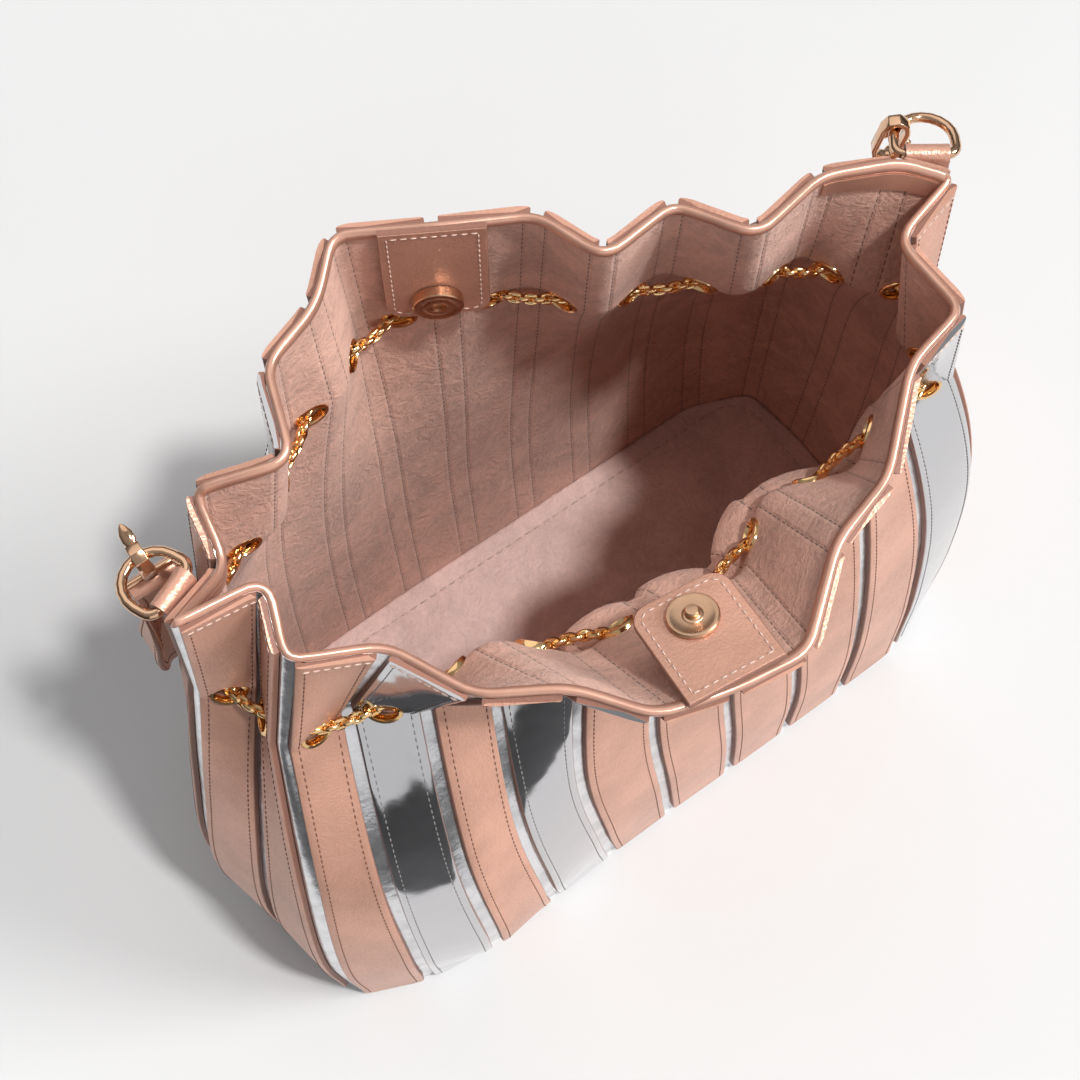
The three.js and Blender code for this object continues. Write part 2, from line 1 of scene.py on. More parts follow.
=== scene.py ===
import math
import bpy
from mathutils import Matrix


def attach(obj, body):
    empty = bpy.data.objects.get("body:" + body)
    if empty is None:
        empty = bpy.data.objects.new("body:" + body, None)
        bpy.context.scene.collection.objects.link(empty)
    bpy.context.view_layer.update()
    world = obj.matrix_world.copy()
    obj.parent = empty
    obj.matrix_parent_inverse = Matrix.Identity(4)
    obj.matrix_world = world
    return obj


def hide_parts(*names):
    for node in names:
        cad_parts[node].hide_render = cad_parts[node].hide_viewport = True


bl_info = {
    "name": "Drawstring handbag",
    "version": (1, 0, 0),
    "blender": (4, 5, 0),
    "location": "3D View > Sidebar > Handbag",
    "description": "Dresses the handbag's frame in leather, suede, gold metal and stitching",
    "category": "Object",
}

import bpy
import numpy as np
from bpy.props import FloatProperty, FloatVectorProperty, IntProperty, PointerProperty
from mathutils import Matrix, Vector

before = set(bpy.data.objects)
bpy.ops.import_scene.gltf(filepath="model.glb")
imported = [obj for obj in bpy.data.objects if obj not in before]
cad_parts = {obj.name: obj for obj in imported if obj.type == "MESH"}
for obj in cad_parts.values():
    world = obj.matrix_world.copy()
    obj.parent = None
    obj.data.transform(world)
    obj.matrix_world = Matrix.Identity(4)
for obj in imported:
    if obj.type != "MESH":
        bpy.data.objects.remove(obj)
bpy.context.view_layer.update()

MM = 0.001
# Middle of the base in the frame, in millimetres. All sizes below are in millimetres from there.
BASE_CENTRE = np.array([1.9565, 8.1307, 0.0])
BASE_LENGTH, BASE_DEPTH, BASE_CORNER = 310.0, 146.0, 25.0
STRIP_PITCH = 31.0
# Half of the gap between two strips at a fold, and the folds where it is wider.
GAP_HALF = 2.3
WIDE_GAPS = {25: 3.7, 27: 3.9}
FOLD_STEPS = [GAP_HALF * share for share in (-1, -0.5, 0, 0.5, 1)]
# How far a fold reaches toward its corner: 0 for a plain round, 0.5 for the corner itself.
FOLD_CREST = 0.15

# Heights of the wall: name, height on the wall's own scale, shares of the belly, slide and gather.
SECTIONS = [
    ("floor", 0.0, 0.3, 0.0, 0.0),
    ("foot", 5.0, 0.3, 0.0, 0.0),
    ("belly", 75.0, 1.0, 0.5, 0.02),
    ("shoulder", 158.0, 0.75, 1.0, 0.3),
]
NECK, RIM = 227.0, 282.0
LEVELS = np.array([section[1] for section in SECTIONS] + [NECK, RIM])

# Folds of the wall, clockwise from above: strip after the fold, turn, belly, slide, neck, rim.
FOLDS = [
    ("back_01", "inward", 0, 0, (-127, 20, 230), (-121, 23, 270)),
    ("back_02", "outward", -12, 0, (-124, 43, 232), (-117, 46, 284)),
    ("back_03", "inward", -9, 0, (-92, 40, 233), (-87, 34, 290)),
    ("back_04", "outward", 0, 0, (-76, 70, 234), (-76, 66, 290)),
    ("back_05", "inward", 4, 0, (-50, 68, 234), (-51, 75, 290)),
    ("back_06", "outward", 6, 0, (-31, 91, 233), (-33, 92, 294)),
    ("back_07", "flat", 6, 0, (-1, 76, 231), (-5, 74, 297)),
    ("back_08", "outward", 6, 0, (31, 69, 229), (26, 58, 296)),
    ("back_09", "inward", 6, 0, (42, 44, 228), (34, 32, 298)),
    ("back_10", "outward", 6, 0, (73, 48, 226), (65, 37, 294)),
    ("back_11", "inward", 6, 0, (91, 22, 224), (80, 11, 296)),
    ("back_12", "outward", 6, 0, (120, 26, 222), (113, 19, 290)),
    ("right_ring", "inward", 6, 0, (129, 0, 221), (141, 10, 284)),
    ("front_01", "outward", 6, 0, (150, -12, 221), (156, -4, 278)),
    ("front_02", "inward", 6, 1, (126, -22, 221), (127, -11, 274)),
    ("front_03", "outward", 2, 3, (136, -45, 221), (129, -43, 272)),
    ("front_04", "inward", 0, 6, (109, -37, 222), (101, -50, 274)),
    ("front_05", "outward", 3, 9, (82, -57, 223), (72, -76, 268)),
    ("front_06", "inward", 5, 12, (49, -44, 224), (43, -85, 272)),
    ("front_07", "outward", 6, 18, (26, -66, 225), (14, -108, 268)),
    ("front_08", "flat", 6, 20, (-4, -56, 226), (-14, -105, 272)),
    ("front_09", "outward", 8, 22, (-37, -57, 226), (-39, -98, 272)),
    ("front_10", "inward", 13, 19, (-60, -33, 226), (-56, -76, 274)),
    ("front_11", "outward", 18, 13, (-89, -41, 227), (-81, -60, 272)),
    ("front_12", "inward", 6, 8, (-110, -23, 228), (-95, -31, 274)),
    ("front_13", "outward", 7, 2, (-138, -27, 229), (-124, -18, 278)),
    ("front_14", "inward", 8, -2, (-126, -3, 230), (-115, 4, 288)),
    ("left_ring", "outward", 16, 0, (-151, 8, 230), (-149, 7, 290)),
]
FOLD_COUNT = len(FOLDS)
FRONT_CENTRE_FOLD = 20
SILVER_STRIPS = ("back_03", "front_03", "front_09", "front_11")

# Distances from the wall's middle surface: both faces of the shell and of the lining, back of the strips,
# and the seat that the strips' thickness is counted from.
SHELL_FACES, LINING_FACES = (-0.6, 0.6), (-1.9, -0.8)
STRIP_BACK, STRIP_SEAT = 0.7, 0.95
WALL_HEIGHTS = np.r_[
    0, 2.5, 5, np.linspace(11, 215, 32), np.linspace(219, 236, 8), np.linspace(240, 281.5, 10)]
LINING_HEIGHTS = np.r_[1, WALL_HEIGHTS[1:-1], 279.5]
STRIP_HEIGHTS = np.r_[5, 8, np.linspace(13, 213, 36), np.linspace(218, 236, 9), np.linspace(240, 281.4, 12)]

# Strips where the gathered suede puffs inward below the neck, with the depth of each puff.
PUFFS = {15: 7.0, 16: 13.0, 17: 17.0, 18: 19.0, 19: 19.0, 20: 19.0, 21: 15.0, 22: 9.0}
PUFF_HEIGHT, PUFF_REACH = 209.0, 17.0
PUFF_WAY = np.array((0, 1.0, 0.15))
# Leather bands inside the rim at the ring ends: first and last fold of each. Then a band's heights, and the
# points round its section: which height, and the depth inside the wall's middle surface.
FACINGS = {"left": (27, 28), "right": (11, 13)}
FACING_HEIGHTS = [RIM - 10.0, RIM - 9.5, RIM - 6.0, RIM - 3.0]
FACING_SECTION = [(0, 2.2), (1, 2.75), (2, 2.8), (3, 2.75), (3, 1.8), (0, 1.8)]

# Sections: distance out and up for the binding, distance in and up for the base and its seam.
BINDING_SECTION = [
    (-2.3, -3.2), (-2.75, -1.8), (-2.7, -0.2), (-2.1, 0.9),
    (-1.1, 1.35), (-0.1, 1.0), (0.5, 0.0), (0.5, -3.2),
]
BASE_SECTION = [
    (1.95, 0.0), (1.95, 2.2), (2.5, 2.8), (3.5, 3.0), (8.0, 3.05), (9.0, 2.8), (10.0, 3.05), (16.0, 3.1),
]
BASE_SEAM = (9.0, 2.95)

# The chain runs past each fold on the side that the fold leaves free.
CHAIN_START_FOLD = 12
CHAIN_SIDE_STEP = {"outward": -1.5, "inward": 1.5, "flat": 6.5}
LINK_STRAIGHT, LINK_BEND = 1.6, 1.4
LINK_ROLLS = (math.radians(-42), math.radians(48))
# How far the slot and the eyelet's middle line lie inside the eyelet's outline, at its ends and flanks.
SLOT_INSETS, EYELET_INSETS = (1.4, 1.3), (1.1, 1.1)
EYELET_SECTION = [(1.1, -1.8), (1.1, 0.0), (0.8, 0.7), (-0.4, 1.0), (-1.1, -0.4), (-1.1, -1.8)]
# How far the eyelets lean back, outside and inside, pulled by the chain.
EYELET_LEANS = (math.radians(20), math.radians(12))

# Closing tabs: middle of the root edge, the way of the root edge and the way down, width and length.
TABS = {
    "front": ((-12.5, -104, 275.5), (35, -4, 0), (0.5, 39, -13), 35.0, 41.0),
    "back": ((-6.38, 71.63, 300), (-59, 34, 0), (0, 0, -1), 36.0, 57.0),
}
TAB_CORNER = 7.0
# Rings of a tab from back to face: inset, lift and mark, which is below zero on painted edges.
TAB_LEVELS = [
    (0.35, 0.0, -1), (0.0, 0.4, -1), (0.0, 1.8, -1), (0.45, 2.3, 1),
    (1.6, 2.4, 2), (3.2, 2.3, 3), (4.6, 2.45, 4),
]
TAB_SEAM = (3.0, 2.32)
SNAP_FROM_END, SNAP_LIFT = 13.0, 2.7

# Ring ends: strip, lean of the ring in degrees, swing of the hook round the ring, way that the hook pulls.
ENDS = {
    "left": (27, 8.0, 26.0, (0.1, 0.1, -1)),
    "right": (12, 0.0, -60.0, (0, 0.1, -1)),
}
LOOP_SEAT, LOOP_THICKNESS, LOOP_OUTER, LOOP_BORE = 4.1, 1.8, 3.6, 1.75
LOOP_WIDTH, LOOP_DROP, LOOP_TAIL = 15.0, 3.0, 20.0
RING_HALF, RING_STRAIGHT, RING_CORNER, RING_WIRE, RING_STOCK = 10.5, 7.5, 4.0, 1.3, 1.85
# Hooks: slack on the ring, and how far the claw, barrel and eye sink into each other.
HOOK_BEND, HOOK_STRAIGHT, HOOK_WIRE, HOOK_SLACK, HOOK_SINK = 3.4, 11.0, 1.4, 0.4, 0.6
BARREL_LENGTH = 8.0
EYE_HALF, EYE_DEPTH, EYE_BEND, EYE_WIRE = 11.5, 7.0, 1.6, 1.3
CLAW_BEND, CLAW_BREADTH, CLAW_EDGE = 4.2, 2.4, 0.35
# The way that a claw's arch spans, where it isn't square to the ring.
CLAW_SPANS = {"right": (0.814, -0.581, 0)}
# The way that each claw's nose points, and the way that the nose's flat side faces.
HOOK_NOSES = {"left": ((0.06, 0.95, 0.32), (-0.2, -0.3, 0.93)), "right": ((-0.1, 0.3, -0.95), (0, 1, 0))}
# Turned pieces of a hook: radius and height.
NOSE = [(0.5, 0.0), (1.3, 1.4), (2.4, 4.0), (2.3, 6.6), (1.4, 8.6), (0.3, 10.0)]
LEVER = [(0.5, 0.0), (0.95, 0.3), (0.95, 2.2), (0.5, 2.6)]
BARREL = [
    (1.6, 0.0), (2.5, 0.3), (2.75, 0.8), (2.75, 1.6), (2.35, 1.9), (2.35, 2.6), (2.75, 2.9), (2.75, 3.9),
    (2.35, 4.2), (2.35, 4.9), (2.75, 5.2), (2.75, 6.4), (2.2, 7.2), (1.6, 8.0),
]

# Shoulder strap behind the bag: place of its middle line and the way of its width.
STRAP_ROUTE = [
    ((-147, 43, 205), (0.3, 0.9, 0)),
    ((-149, 54, 160), (0, 0.8, 0.5)),
    ((-140, 74, 112), (0, 0.4, 0.9)),
    ((-108, 88, 62), (0, 0, 1)),
    ((-58, 90, 20), (0, 0, 1)),
    ((0, 90, 10.5), (0, 0, 1)),
    ((58, 90, 20), (0, 0, 1)),
    ((108, 90, 62), (0, 0, 1)),
    ((148, 80, 112), (0, 0.4, 0.9)),
    ((161, 54, 160), (0, 0.8, 0.5)),
    ((157, 40, 200), (0.4, 0.9, 0)),
]
# Distances that the strap first falls straight from each hook, half of its thickness, and its sleeves.
STRAP_FALLS = (2.8, 24.0)
STRAP_HALF = 1.2
SLEEVE_OUTER, SLEEVE_BORE = 3.8, 1.75

# Stitches: length, width and rise.
BASE_STITCH, TAB_STITCH, RIM_STITCH = (3.6, 1.0, 0.6), (2.3, 0.6, 0.42), (2.5, 0.7, 0.42)
STRAP_STITCH, STRIP_STITCH = (2.6, 0.6, 0.35), (2.1, 0.5, 0.3)
BASE_STITCH_PITCH, TAB_STITCH_PITCH = 5.2, 3.3
STRAP_STITCH_INSET = 2.4

# Camera: place in millimetres from the base's middle, then angles in degrees and lens in millimetres.
CAMERA_PLACE = (-179.155, -231.447, 901.831)
CAMERA_AZIMUTH, CAMERA_ELEVATION, CAMERA_ROLL, CAMERA_LENS = -35.533, 68.412, 0.215, 70.97
# The stage is in metres. The floor ends a little before the bag.
FLOOR_SIZE, FLOOR_FRONT = 6.0, 0.27
# Brightness of the surroundings from straight below (0) to straight above (1).
SKY_STRENGTH = 0.25
SKY = [(0.0, 0.6), (0.2, 0.5), (0.33, 0.26), (0.5, 0.2), (0.57, 0.35), (0.7, 0.8), (0.95, 1.5)]
# A wide soft light before the bag.
CARD_PLACE, CARD_SIZE, CARD_ENERGY = (-0.2, -1.1, 0.5), (2.2, 1.4), 7.0
# Lights: name, strength, spread in degrees and the way to the light.
LIGHTS = [
    ("key_light", 2.1, 4.5, (0.176, -0.331, 0.927)),
    ("side_light", 2.1, 22.0, (0.62, -0.44, 0.65)),
    ("back_light", 0.55, 60.0, (0.1, 0.55, 0.83)),
]
LIGHT_COLOUR = (1.0, 0.98, 0.95)


def length(name, default, description):
    return FloatProperty(name=name, description=description, default=default, min=0.0, unit="LENGTH")


def tint(name, default, description):
    return FloatVectorProperty(
        name=name, description=description, default=default, size=3, min=0, max=1, subtype="COLOR")


class HandbagSizes(bpy.types.PropertyGroup):
    """Sizes that shape the bag's pieces"""
    fold_round: length("Fold rounding", 0.0088, "Length of leather on each side of a fold that bends")
    strip_thickness: length("Strip thickness", 0.002, "Thickness of the applied strips")
    stitch_inset: length("Stitch inset", 0.003, "Distance of a strip's stitches from its edge")
    stitch_pitch: length("Stitch pitch", 0.0028, "Distance from one stitch to the next")
    link_wire: length("Link wire", 0.001, "Radius of the chain links' wire")
    link_pitch: length("Link pitch", 0.0029, "Distance from one chain link to the next")
    eyelet_length: length("Eyelet length", 0.0135, "Length of the almond eyelets")
    eyelet_height: length("Eyelet height", 0.0102, "Height of the almond eyelets")
    snap_radius: length("Snap radius", 0.0088, "Radius of the magnetic snaps")
    strap_width: length("Strap width", 0.018, "Width of the shoulder strap")
    wire_sides: IntProperty(
        name="Wire sides", description="Sides of the metal wires",
        default=12, min=6, max=24, subtype="UNSIGNED")


class HandbagColours(bpy.types.PropertyGroup):
    """Colours of the bag's finishes"""
    rose: tint("Rose leather", (0.62, 0.335, 0.245), "Leather of the strips, tabs and strap")
    edge: tint("Edge paint", (0.27, 0.13, 0.095), "Paint on the cut edges of the leather")
    binding: tint("Binding", (0.64, 0.36, 0.27), "Leather that binds the rim")
    mirror: tint("Mirror leather", (0.60, 0.595, 0.61), "Bright silver strips")
    silver: tint("Silver leather", (0.76, 0.76, 0.78), "Leather of the wall between the strips")
    suede: tint("Suede", (0.69, 0.415, 0.33), "Suede of the lining")
    base_suede: tint("Base suede", (0.82, 0.61, 0.57), "Paler suede of the base")
    gold: tint("Gold", (0.94, 0.61, 0.30), "Chain and eyelets")
    pale_gold: tint("Pale gold", (0.80, 0.50, 0.32), "Rings, hooks and snaps")
    dark_thread: tint("Dark thread", (0.20, 0.09, 0.06), "Stitches on the rose strips and the strap")
    pale_thread: tint("Pale thread", (0.70, 0.53, 0.46), "Stitches on the tabs, rim and base")
    grey_thread: tint("Grey thread", (0.25, 0.24, 0.24), "Stitches on the silver strips")
    floor: tint("Floor", (0.59, 0.598, 0.61), "Floor that the bag stands on")


def sizes():
    return bpy.context.scene.handbag_sizes


def colours():
    return bpy.context.scene.handbag_colours


def mm(value):
    return value / MM


def unit(vectors):
    vectors = np.asarray(vectors, float)
    return vectors / np.linalg.norm(vectors, axis=-1, keepdims=True)


def base_point(distance):
    """Place and outward way on the base's outline, clockwise from the middle of the front."""
    x, y, r = BASE_LENGTH / 2 - BASE_CORNER, BASE_DEPTH / 2 - BASE_CORNER, BASE_CORNER
    arc = r * math.pi / 2
    runs = [
        ("line", x, (0, -y - r), (-1, 0)), ("arc", arc, (-x, -y), 270), ("line", 2 * y, (-x - r, -y), (0, 1)),
        ("arc", arc, (-x, y), 180), ("line", 2 * x, (-x, y + r), (1, 0)), ("arc", arc, (x, y), 90),
        ("line", 2 * y, (x + r, y), (0, -1)), ("arc", arc, (x, -y), 0), ("line", x, (x, -y - r), (-1, 0)),
    ]
    for kind, span, start, way in runs:
        if distance <= span + 1e-6:
            if kind == "line":
                place = np.array(start) + np.array(way) * distance
                return place, np.array((-way[1], way[0]))
            angle = math.radians(way) - distance / r
            out = np.array((math.cos(angle), math.sin(angle)))
            return np.array(start) + out * r, out
        distance -= span
    raise RuntimeError("The distance lies past the end of the base's outline")


def fold_levels():
    """Fold places at each named level, from floor to rim."""
    rows = []
    for _, height, swell, drift, gather in SECTIONS:
        row = []
        for k, (_, _, belly, slide, neck, _) in enumerate(FOLDS):
            place, out = base_point(((k - FRONT_CENTRE_FOLD) % FOLD_COUNT) * STRIP_PITCH)
            body = place + out * belly * swell + np.array((out[1], -out[0])) * slide * drift
            body = body + (np.array(neck[:2]) - body) * gather
            row.append((*body, height))
        rows.append(row)
    rows.append([fold[4] for fold in FOLDS])
    rows.append([fold[5] for fold in FOLDS])
    return np.array(rows, float)


FOLD_LEVELS = fold_levels()
NECK_FOLDS, RIM_FOLDS = FOLD_LEVELS[-2:]


def fold_tangents(places):
    """Ways along the wall at the folds of one level."""
    after = unit(np.roll(places, -1, axis=0) - places)
    return unit(after + np.roll(after, 1, axis=0))


def gap_half(k):
    """Distance from a fold to the strips beside it."""
    return WIDE_GAPS.get(k % FOLD_COUNT, GAP_HALF)


def strip_face():
    """Distance of the strips' outer face from the wall's middle surface."""
    return STRIP_SEAT + mm(sizes().strip_thickness)


def wall_rows(heights):
    """Fold places at any heights of the wall's scale, on smooth curves through the levels."""
    steps = np.diff(LEVELS)
    slopes = np.diff(FOLD_LEVELS, axis=0) / steps[:, None, None]
    tangents = np.empty_like(FOLD_LEVELS)
    tangents[0], tangents[-1] = slopes[0], slopes[-1]
    before, after = steps[:-1, None, None], steps[1:, None, None]
    tangents[1:-1] = (slopes[:-1] * after + slopes[1:] * before) / (before + after)
    tangents[1] = slopes[1]
    neck = len(SECTIONS)
    below, above = 1.9 * slopes[neck - 1] - 0.9 * tangents[neck - 1], slopes[neck]
    rows = []
    for height in heights:
        i = int(np.clip(np.searchsorted(LEVELS, height, side="right") - 1, 0, len(steps) - 1))
        t, h = (height - LEVELS[i]) / steps[i], steps[i]
        a, b = 2 * t ** 3 - 3 * t ** 2 + 1, t ** 3 - 2 * t ** 2 + t
        c, d = -2 * t ** 3 + 3 * t ** 2, t ** 3 - t ** 2
        leaving = above if i == neck else tangents[i]
        reaching = below if i + 1 == neck else tangents[i + 1]
        rows.append(a * FOLD_LEVELS[i] + b * h * leaving + c * FOLD_LEVELS[i + 1] + d * h * reaching)
    return np.array(rows)


def wall_at(rows, k, distance):
    """Places on the wall at a distance in each row after fold k, or before it where that is negative."""
    here, ahead, behind = (rows[:, (k + i) % FOLD_COUNT] for i in (0, 1, -1))
    distance = np.broadcast_to(np.asarray(distance, float), (len(rows),))[:, None]
    after, before = ahead - here, here - behind
    after_span, before_span = (np.linalg.norm(v, axis=1, keepdims=True) for v in (after, before))
    after, before = after / after_span, before / before_span
    bend = np.minimum(mm(sizes().fold_round), 0.36 * np.minimum(after_span, before_span))
    start, end = here - before * bend, here + after * bend
    pull = (1 + FOLD_CREST) * here - FOLD_CREST / 2 * (start + end)
    t = np.clip(0.5 + 0.5 * distance / bend, 0, 1)
    curve = (1 - t) ** 2 * start + 2 * t * (1 - t) * pull + t ** 2 * end
    straight = here + np.where(distance > 0, after, before) * distance
    return np.where(np.abs(distance) <= bend, curve, straight)


def strip_span(rows, k):
    return np.linalg.norm(rows[:, (k + 1) % FOLD_COUNT] - rows[:, k], axis=1)


def strip_at(rows, k, distance):
    """Places on strip k at a distance from the fold before it."""
    span = strip_span(rows, k)
    distance = np.broadcast_to(np.asarray(distance, float), span.shape)
    near, far = wall_at(rows, k, distance), wall_at(rows, k + 1, distance - span)
    return np.where((distance <= span / 2)[:, None], near, far)


def outward(points, closed):
    """Outward ways of a grid of wall points, rows upward and columns clockwise."""
    up = np.gradient(points, axis=0)
    if closed:
        along = np.roll(points, -1, axis=1) - np.roll(points, 1, axis=1)
    else:
        along = np.gradient(points, axis=1)
    return unit(np.cross(up, along))


def ring_grid(heights, strip_shares):
    """Wall points all round, their outward ways, and each column's distance from the nearest fold."""
    rows = wall_rows(heights)
    columns, distances = [], []
    for k in range(FOLD_COUNT):
        for d in FOLD_STEPS:
            columns.append(wall_at(rows, k, d))
            distances.append(np.full(len(rows), abs(d)))
        span = strip_span(rows, k)
        for share in strip_shares:
            d = GAP_HALF + share * (span - 2 * GAP_HALF)
            columns.append(strip_at(rows, k, d))
            distances.append(np.minimum(d, span - d))
    points = np.stack(columns, axis=1)
    return points, outward(points, True), np.stack(distances, axis=1)


def slot_frame(k):
    """Place, way along, way up and way out at the chain's slot in strip k."""
    rows = wall_rows([NECK - 1.0, NECK, NECK + 1.0])
    middle = strip_span(rows, k) / 2
    here = strip_at(rows, k, middle)
    along = unit(strip_at(rows, k, middle + 2)[1] - strip_at(rows, k, middle - 2)[1])
    out = unit(np.cross(unit(here[2] - here[0]), along))
    return here[1], along, unit(np.cross(along, out)), out


def clear_selection():
    if bpy.context.object and bpy.context.object.mode != "OBJECT":
        bpy.ops.object.mode_set(mode="OBJECT")
    bpy.ops.object.select_all(action="DESELECT")


def make_active(obj):
    clear_selection()
    bpy.context.view_layer.objects.active = obj
    obj.select_set(True)


def add_mesh(name, points, faces):
    """A mesh object from points in metres."""
    mesh = bpy.data.meshes.new(name)
    mesh.from_pydata(points.tolist(), [], [tuple(face) for face in faces])
    obj = bpy.data.objects.new(name, mesh)
    bpy.context.collection.objects.link(obj)
    return obj


def template_shape(name, points, faces):
    """A small piece about the origin, from points in millimetres, that is to be copied."""
    return add_mesh(name, np.asarray(points, float) * MM, faces)


def mesh_piece(name, points, faces, uvs=None, smooth=True):
    """A piece from points in millimetres from the base's middle, with a UV for each point."""
    obj = add_mesh(name, (np.asarray(points, float) + BASE_CENTRE) * MM, faces)
    mesh = obj.data
    if uvs is not None:
        layer = mesh.uv_layers.new(name="UVMap")
        corners = np.empty(len(mesh.loops), dtype=np.int32)
        mesh.loops.foreach_get("vertex_index", corners)
        layer.data.foreach_set("uv", np.asarray(uvs, np.float32)[corners].ravel())
    mesh.polygons.foreach_set("use_smooth", [smooth] * len(mesh.polygons))
    mesh.update()
    return obj


def loft_faces(rows, columns, closed_rows=False, flip=False):
    """Faces between neighbouring rings of points."""
    faces = []
    for i in range(rows if closed_rows else rows - 1):
        for j in range(columns):
            a, b = i * columns + j, i * columns + (j + 1) % columns
            c, d = ((i + 1) % rows) * columns + (j + 1) % columns, ((i + 1) % rows) * columns + j
            faces.append((b, a, d, c) if flip else (a, b, c, d))
    return faces


def end_faces(rows, columns):
    """Faces that close the first and the last ring of a loft."""
    return [tuple(reversed(range(columns))), tuple(range((rows - 1) * columns, rows * columns))]


def finish_piece(obj, finish, nodes=(), angle=None):
    """Puts a material on a piece, seats it on the frame and hides the frame's solids that it stands for."""
    obj.data.materials.clear()
    obj.data.materials.append(finish_named(finish))
    if angle is not None:
        make_active(obj)
        bpy.ops.object.shade_smooth_by_angle(angle=math.radians(angle))
    if nodes:
        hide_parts(*nodes)
    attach(obj, "root")


def apply_modifier(obj, kind, **settings):
    make_active(obj)
    modifier = obj.modifiers.new(kind.title(), kind)
    for key, value in settings.items():
        setattr(modifier, key, value)
    bpy.ops.object.modifier_apply(modifier=modifier.name)


def place_piece(obj, matrix):
    """Moves a piece that was modelled at the origin in metres to its place in the bag."""
    make_active(obj)
    obj.matrix_world = Matrix.Translation(Vector(BASE_CENTRE * MM)) @ matrix
    bpy.ops.object.transform_apply(location=True, rotation=True, scale=True)


def basis(x, y, z, origin):
    """Matrix from local metres to the bag, with its origin in millimetres from the base's middle."""
    turn = np.eye(4)
    turn[:3, 0], turn[:3, 1], turn[:3, 2], turn[:3, 3] = x, y, z, np.asarray(origin) * MM
    return Matrix(turn.tolist())


def face_outward(obj):
    """Turns all the faces of a closed piece outward."""
    make_active(obj)
    bpy.ops.object.mode_set(mode="EDIT")
    bpy.ops.mesh.select_all(action="SELECT")
    bpy.ops.mesh.normals_make_consistent(inside=False)
    bpy.ops.object.mode_set(mode="OBJECT")


def join_pieces(name, objects):
    clear_selection()
    for obj in objects:
        obj.select_set(True)
    bpy.context.view_layer.objects.active = objects[0]
    bpy.ops.object.join()
    joined = bpy.context.view_layer.objects.active
    joined.name = joined.data.name = name
    return joined


def scatter(name, template, matrices):
    """One mesh with a copy of the template's mesh at each matrix."""
    count = len(template.data.vertices)
    points = np.empty(count * 3)
    template.data.vertices.foreach_get("co", points)
    points = np.c_[points.reshape(-1, 3), np.ones(count)]
    faces = [tuple(p.vertices) for p in template.data.polygons]
    everything = np.concatenate([(points @ np.array(m).T)[:, :3] for m in matrices])
    everyface = [tuple(v + i * count for v in face) for i in range(len(matrices)) for face in faces]
    bpy.data.objects.remove(template, do_unlink=True)
    return mesh_piece(name, everything / MM, everyface)


def wire_shape(name, wire, sides, steps, step_angle=18, roll=0):
    """A wire bent in the XY plane from the origin along +X: ("go", length) and ("turn", degrees, radius)."""
    clear_selection()
    bpy.ops.mesh.primitive_circle_add(vertices=sides, radius=wire * MM, rotation=(0, math.pi / 2, 0))
    obj = bpy.context.object
    bpy.ops.object.transform_apply(location=False, rotation=True, scale=False)
    bpy.ops.object.mode_set(mode="EDIT")
    bpy.ops.mesh.select_all(action="SELECT")
    if roll:
        bpy.ops.transform.rotate(value=math.radians(roll), orient_axis="X")
    place, heading = np.zeros(2), 0.0
    for step in steps:
        ahead = np.array((math.cos(heading), math.sin(heading)))
        if step[0] == "go":
            move = ahead * step[1] * MM
            bpy.ops.mesh.extrude_region_move(TRANSFORM_OT_translate={"value": (move[0], move[1], 0)})
            place = place + move
            continue
        _, degrees, radius = step
        centre = place + np.array((-ahead[1], ahead[0])) * radius * MM
        turns = max(2, int(degrees / step_angle))
        bpy.ops.mesh.spin(steps=turns, angle=-math.radians(degrees), center=(*centre, 0), axis=(0, 0, 1))
        arm = place - centre
        c, s = math.cos(math.radians(degrees)), math.sin(math.radians(degrees))
        place = centre + np.array((c * arm[0] - s * arm[1], s * arm[0] + c * arm[1]))
        heading += math.radians(degrees)
    bpy.ops.mesh.select_all(action="SELECT")
    bpy.ops.mesh.remove_doubles(threshold=1e-6)
    bpy.ops.mesh.normals_make_consistent(inside=False)
    bpy.ops.object.mode_set(mode="OBJECT")
    bpy.ops.object.shade_smooth()
    obj.name = obj.data.name = name
    return obj


def turned_shape(name, rings, sides):
    """A round piece about +Z from its (radius, height) rings, closed at both ends."""
    clear_selection()
    (radius, height), *rest = rings
    bpy.ops.mesh.primitive_circle_add(
        vertices=sides, radius=radius * MM, location=(0, 0, height * MM), fill_type="NGON")
    obj = bpy.context.object
    bpy.ops.object.transform_apply(location=True, rotation=False, scale=False)
    bpy.ops.object.mode_set(mode="EDIT")
    bpy.ops.mesh.select_all(action="SELECT")
    for next_radius, next_height in rest:
        rise, share = (next_height - height) * MM, next_radius / radius
        bpy.ops.mesh.extrude_region_move(TRANSFORM_OT_translate={"value": (0, 0, rise)})
        bpy.ops.transform.resize(value=(share, share, 1), center_override=(0, 0, next_height * MM))
        radius, height = next_radius, next_height
    bpy.ops.mesh.select_all(action="SELECT")
    bpy.ops.mesh.normals_make_consistent(inside=False)
    bpy.ops.object.mode_set(mode="OBJECT")
    obj.name = obj.data.name = name
    return obj


def stitch_shape(span, width, rise):
    """One stitch along +X on the plane z = 0: a low spindle of thread."""
    rings = [(-0.5, 0.35), (-0.2, 1.0), (0.2, 1.0), (0.5, 0.35)]
    section = [(-0.5, 0.0), (-0.3, 0.8), (0.3, 0.8), (0.5, 0.0)]
    points = [(share * span, y * width * fat, z * rise * fat) for share, fat in rings for y, z in section]
    faces = loft_faces(len(rings), len(section), flip=True) + [(0, 1, 2, 3), (15, 14, 13, 12)]
    return template_shape("stitch", points, faces)


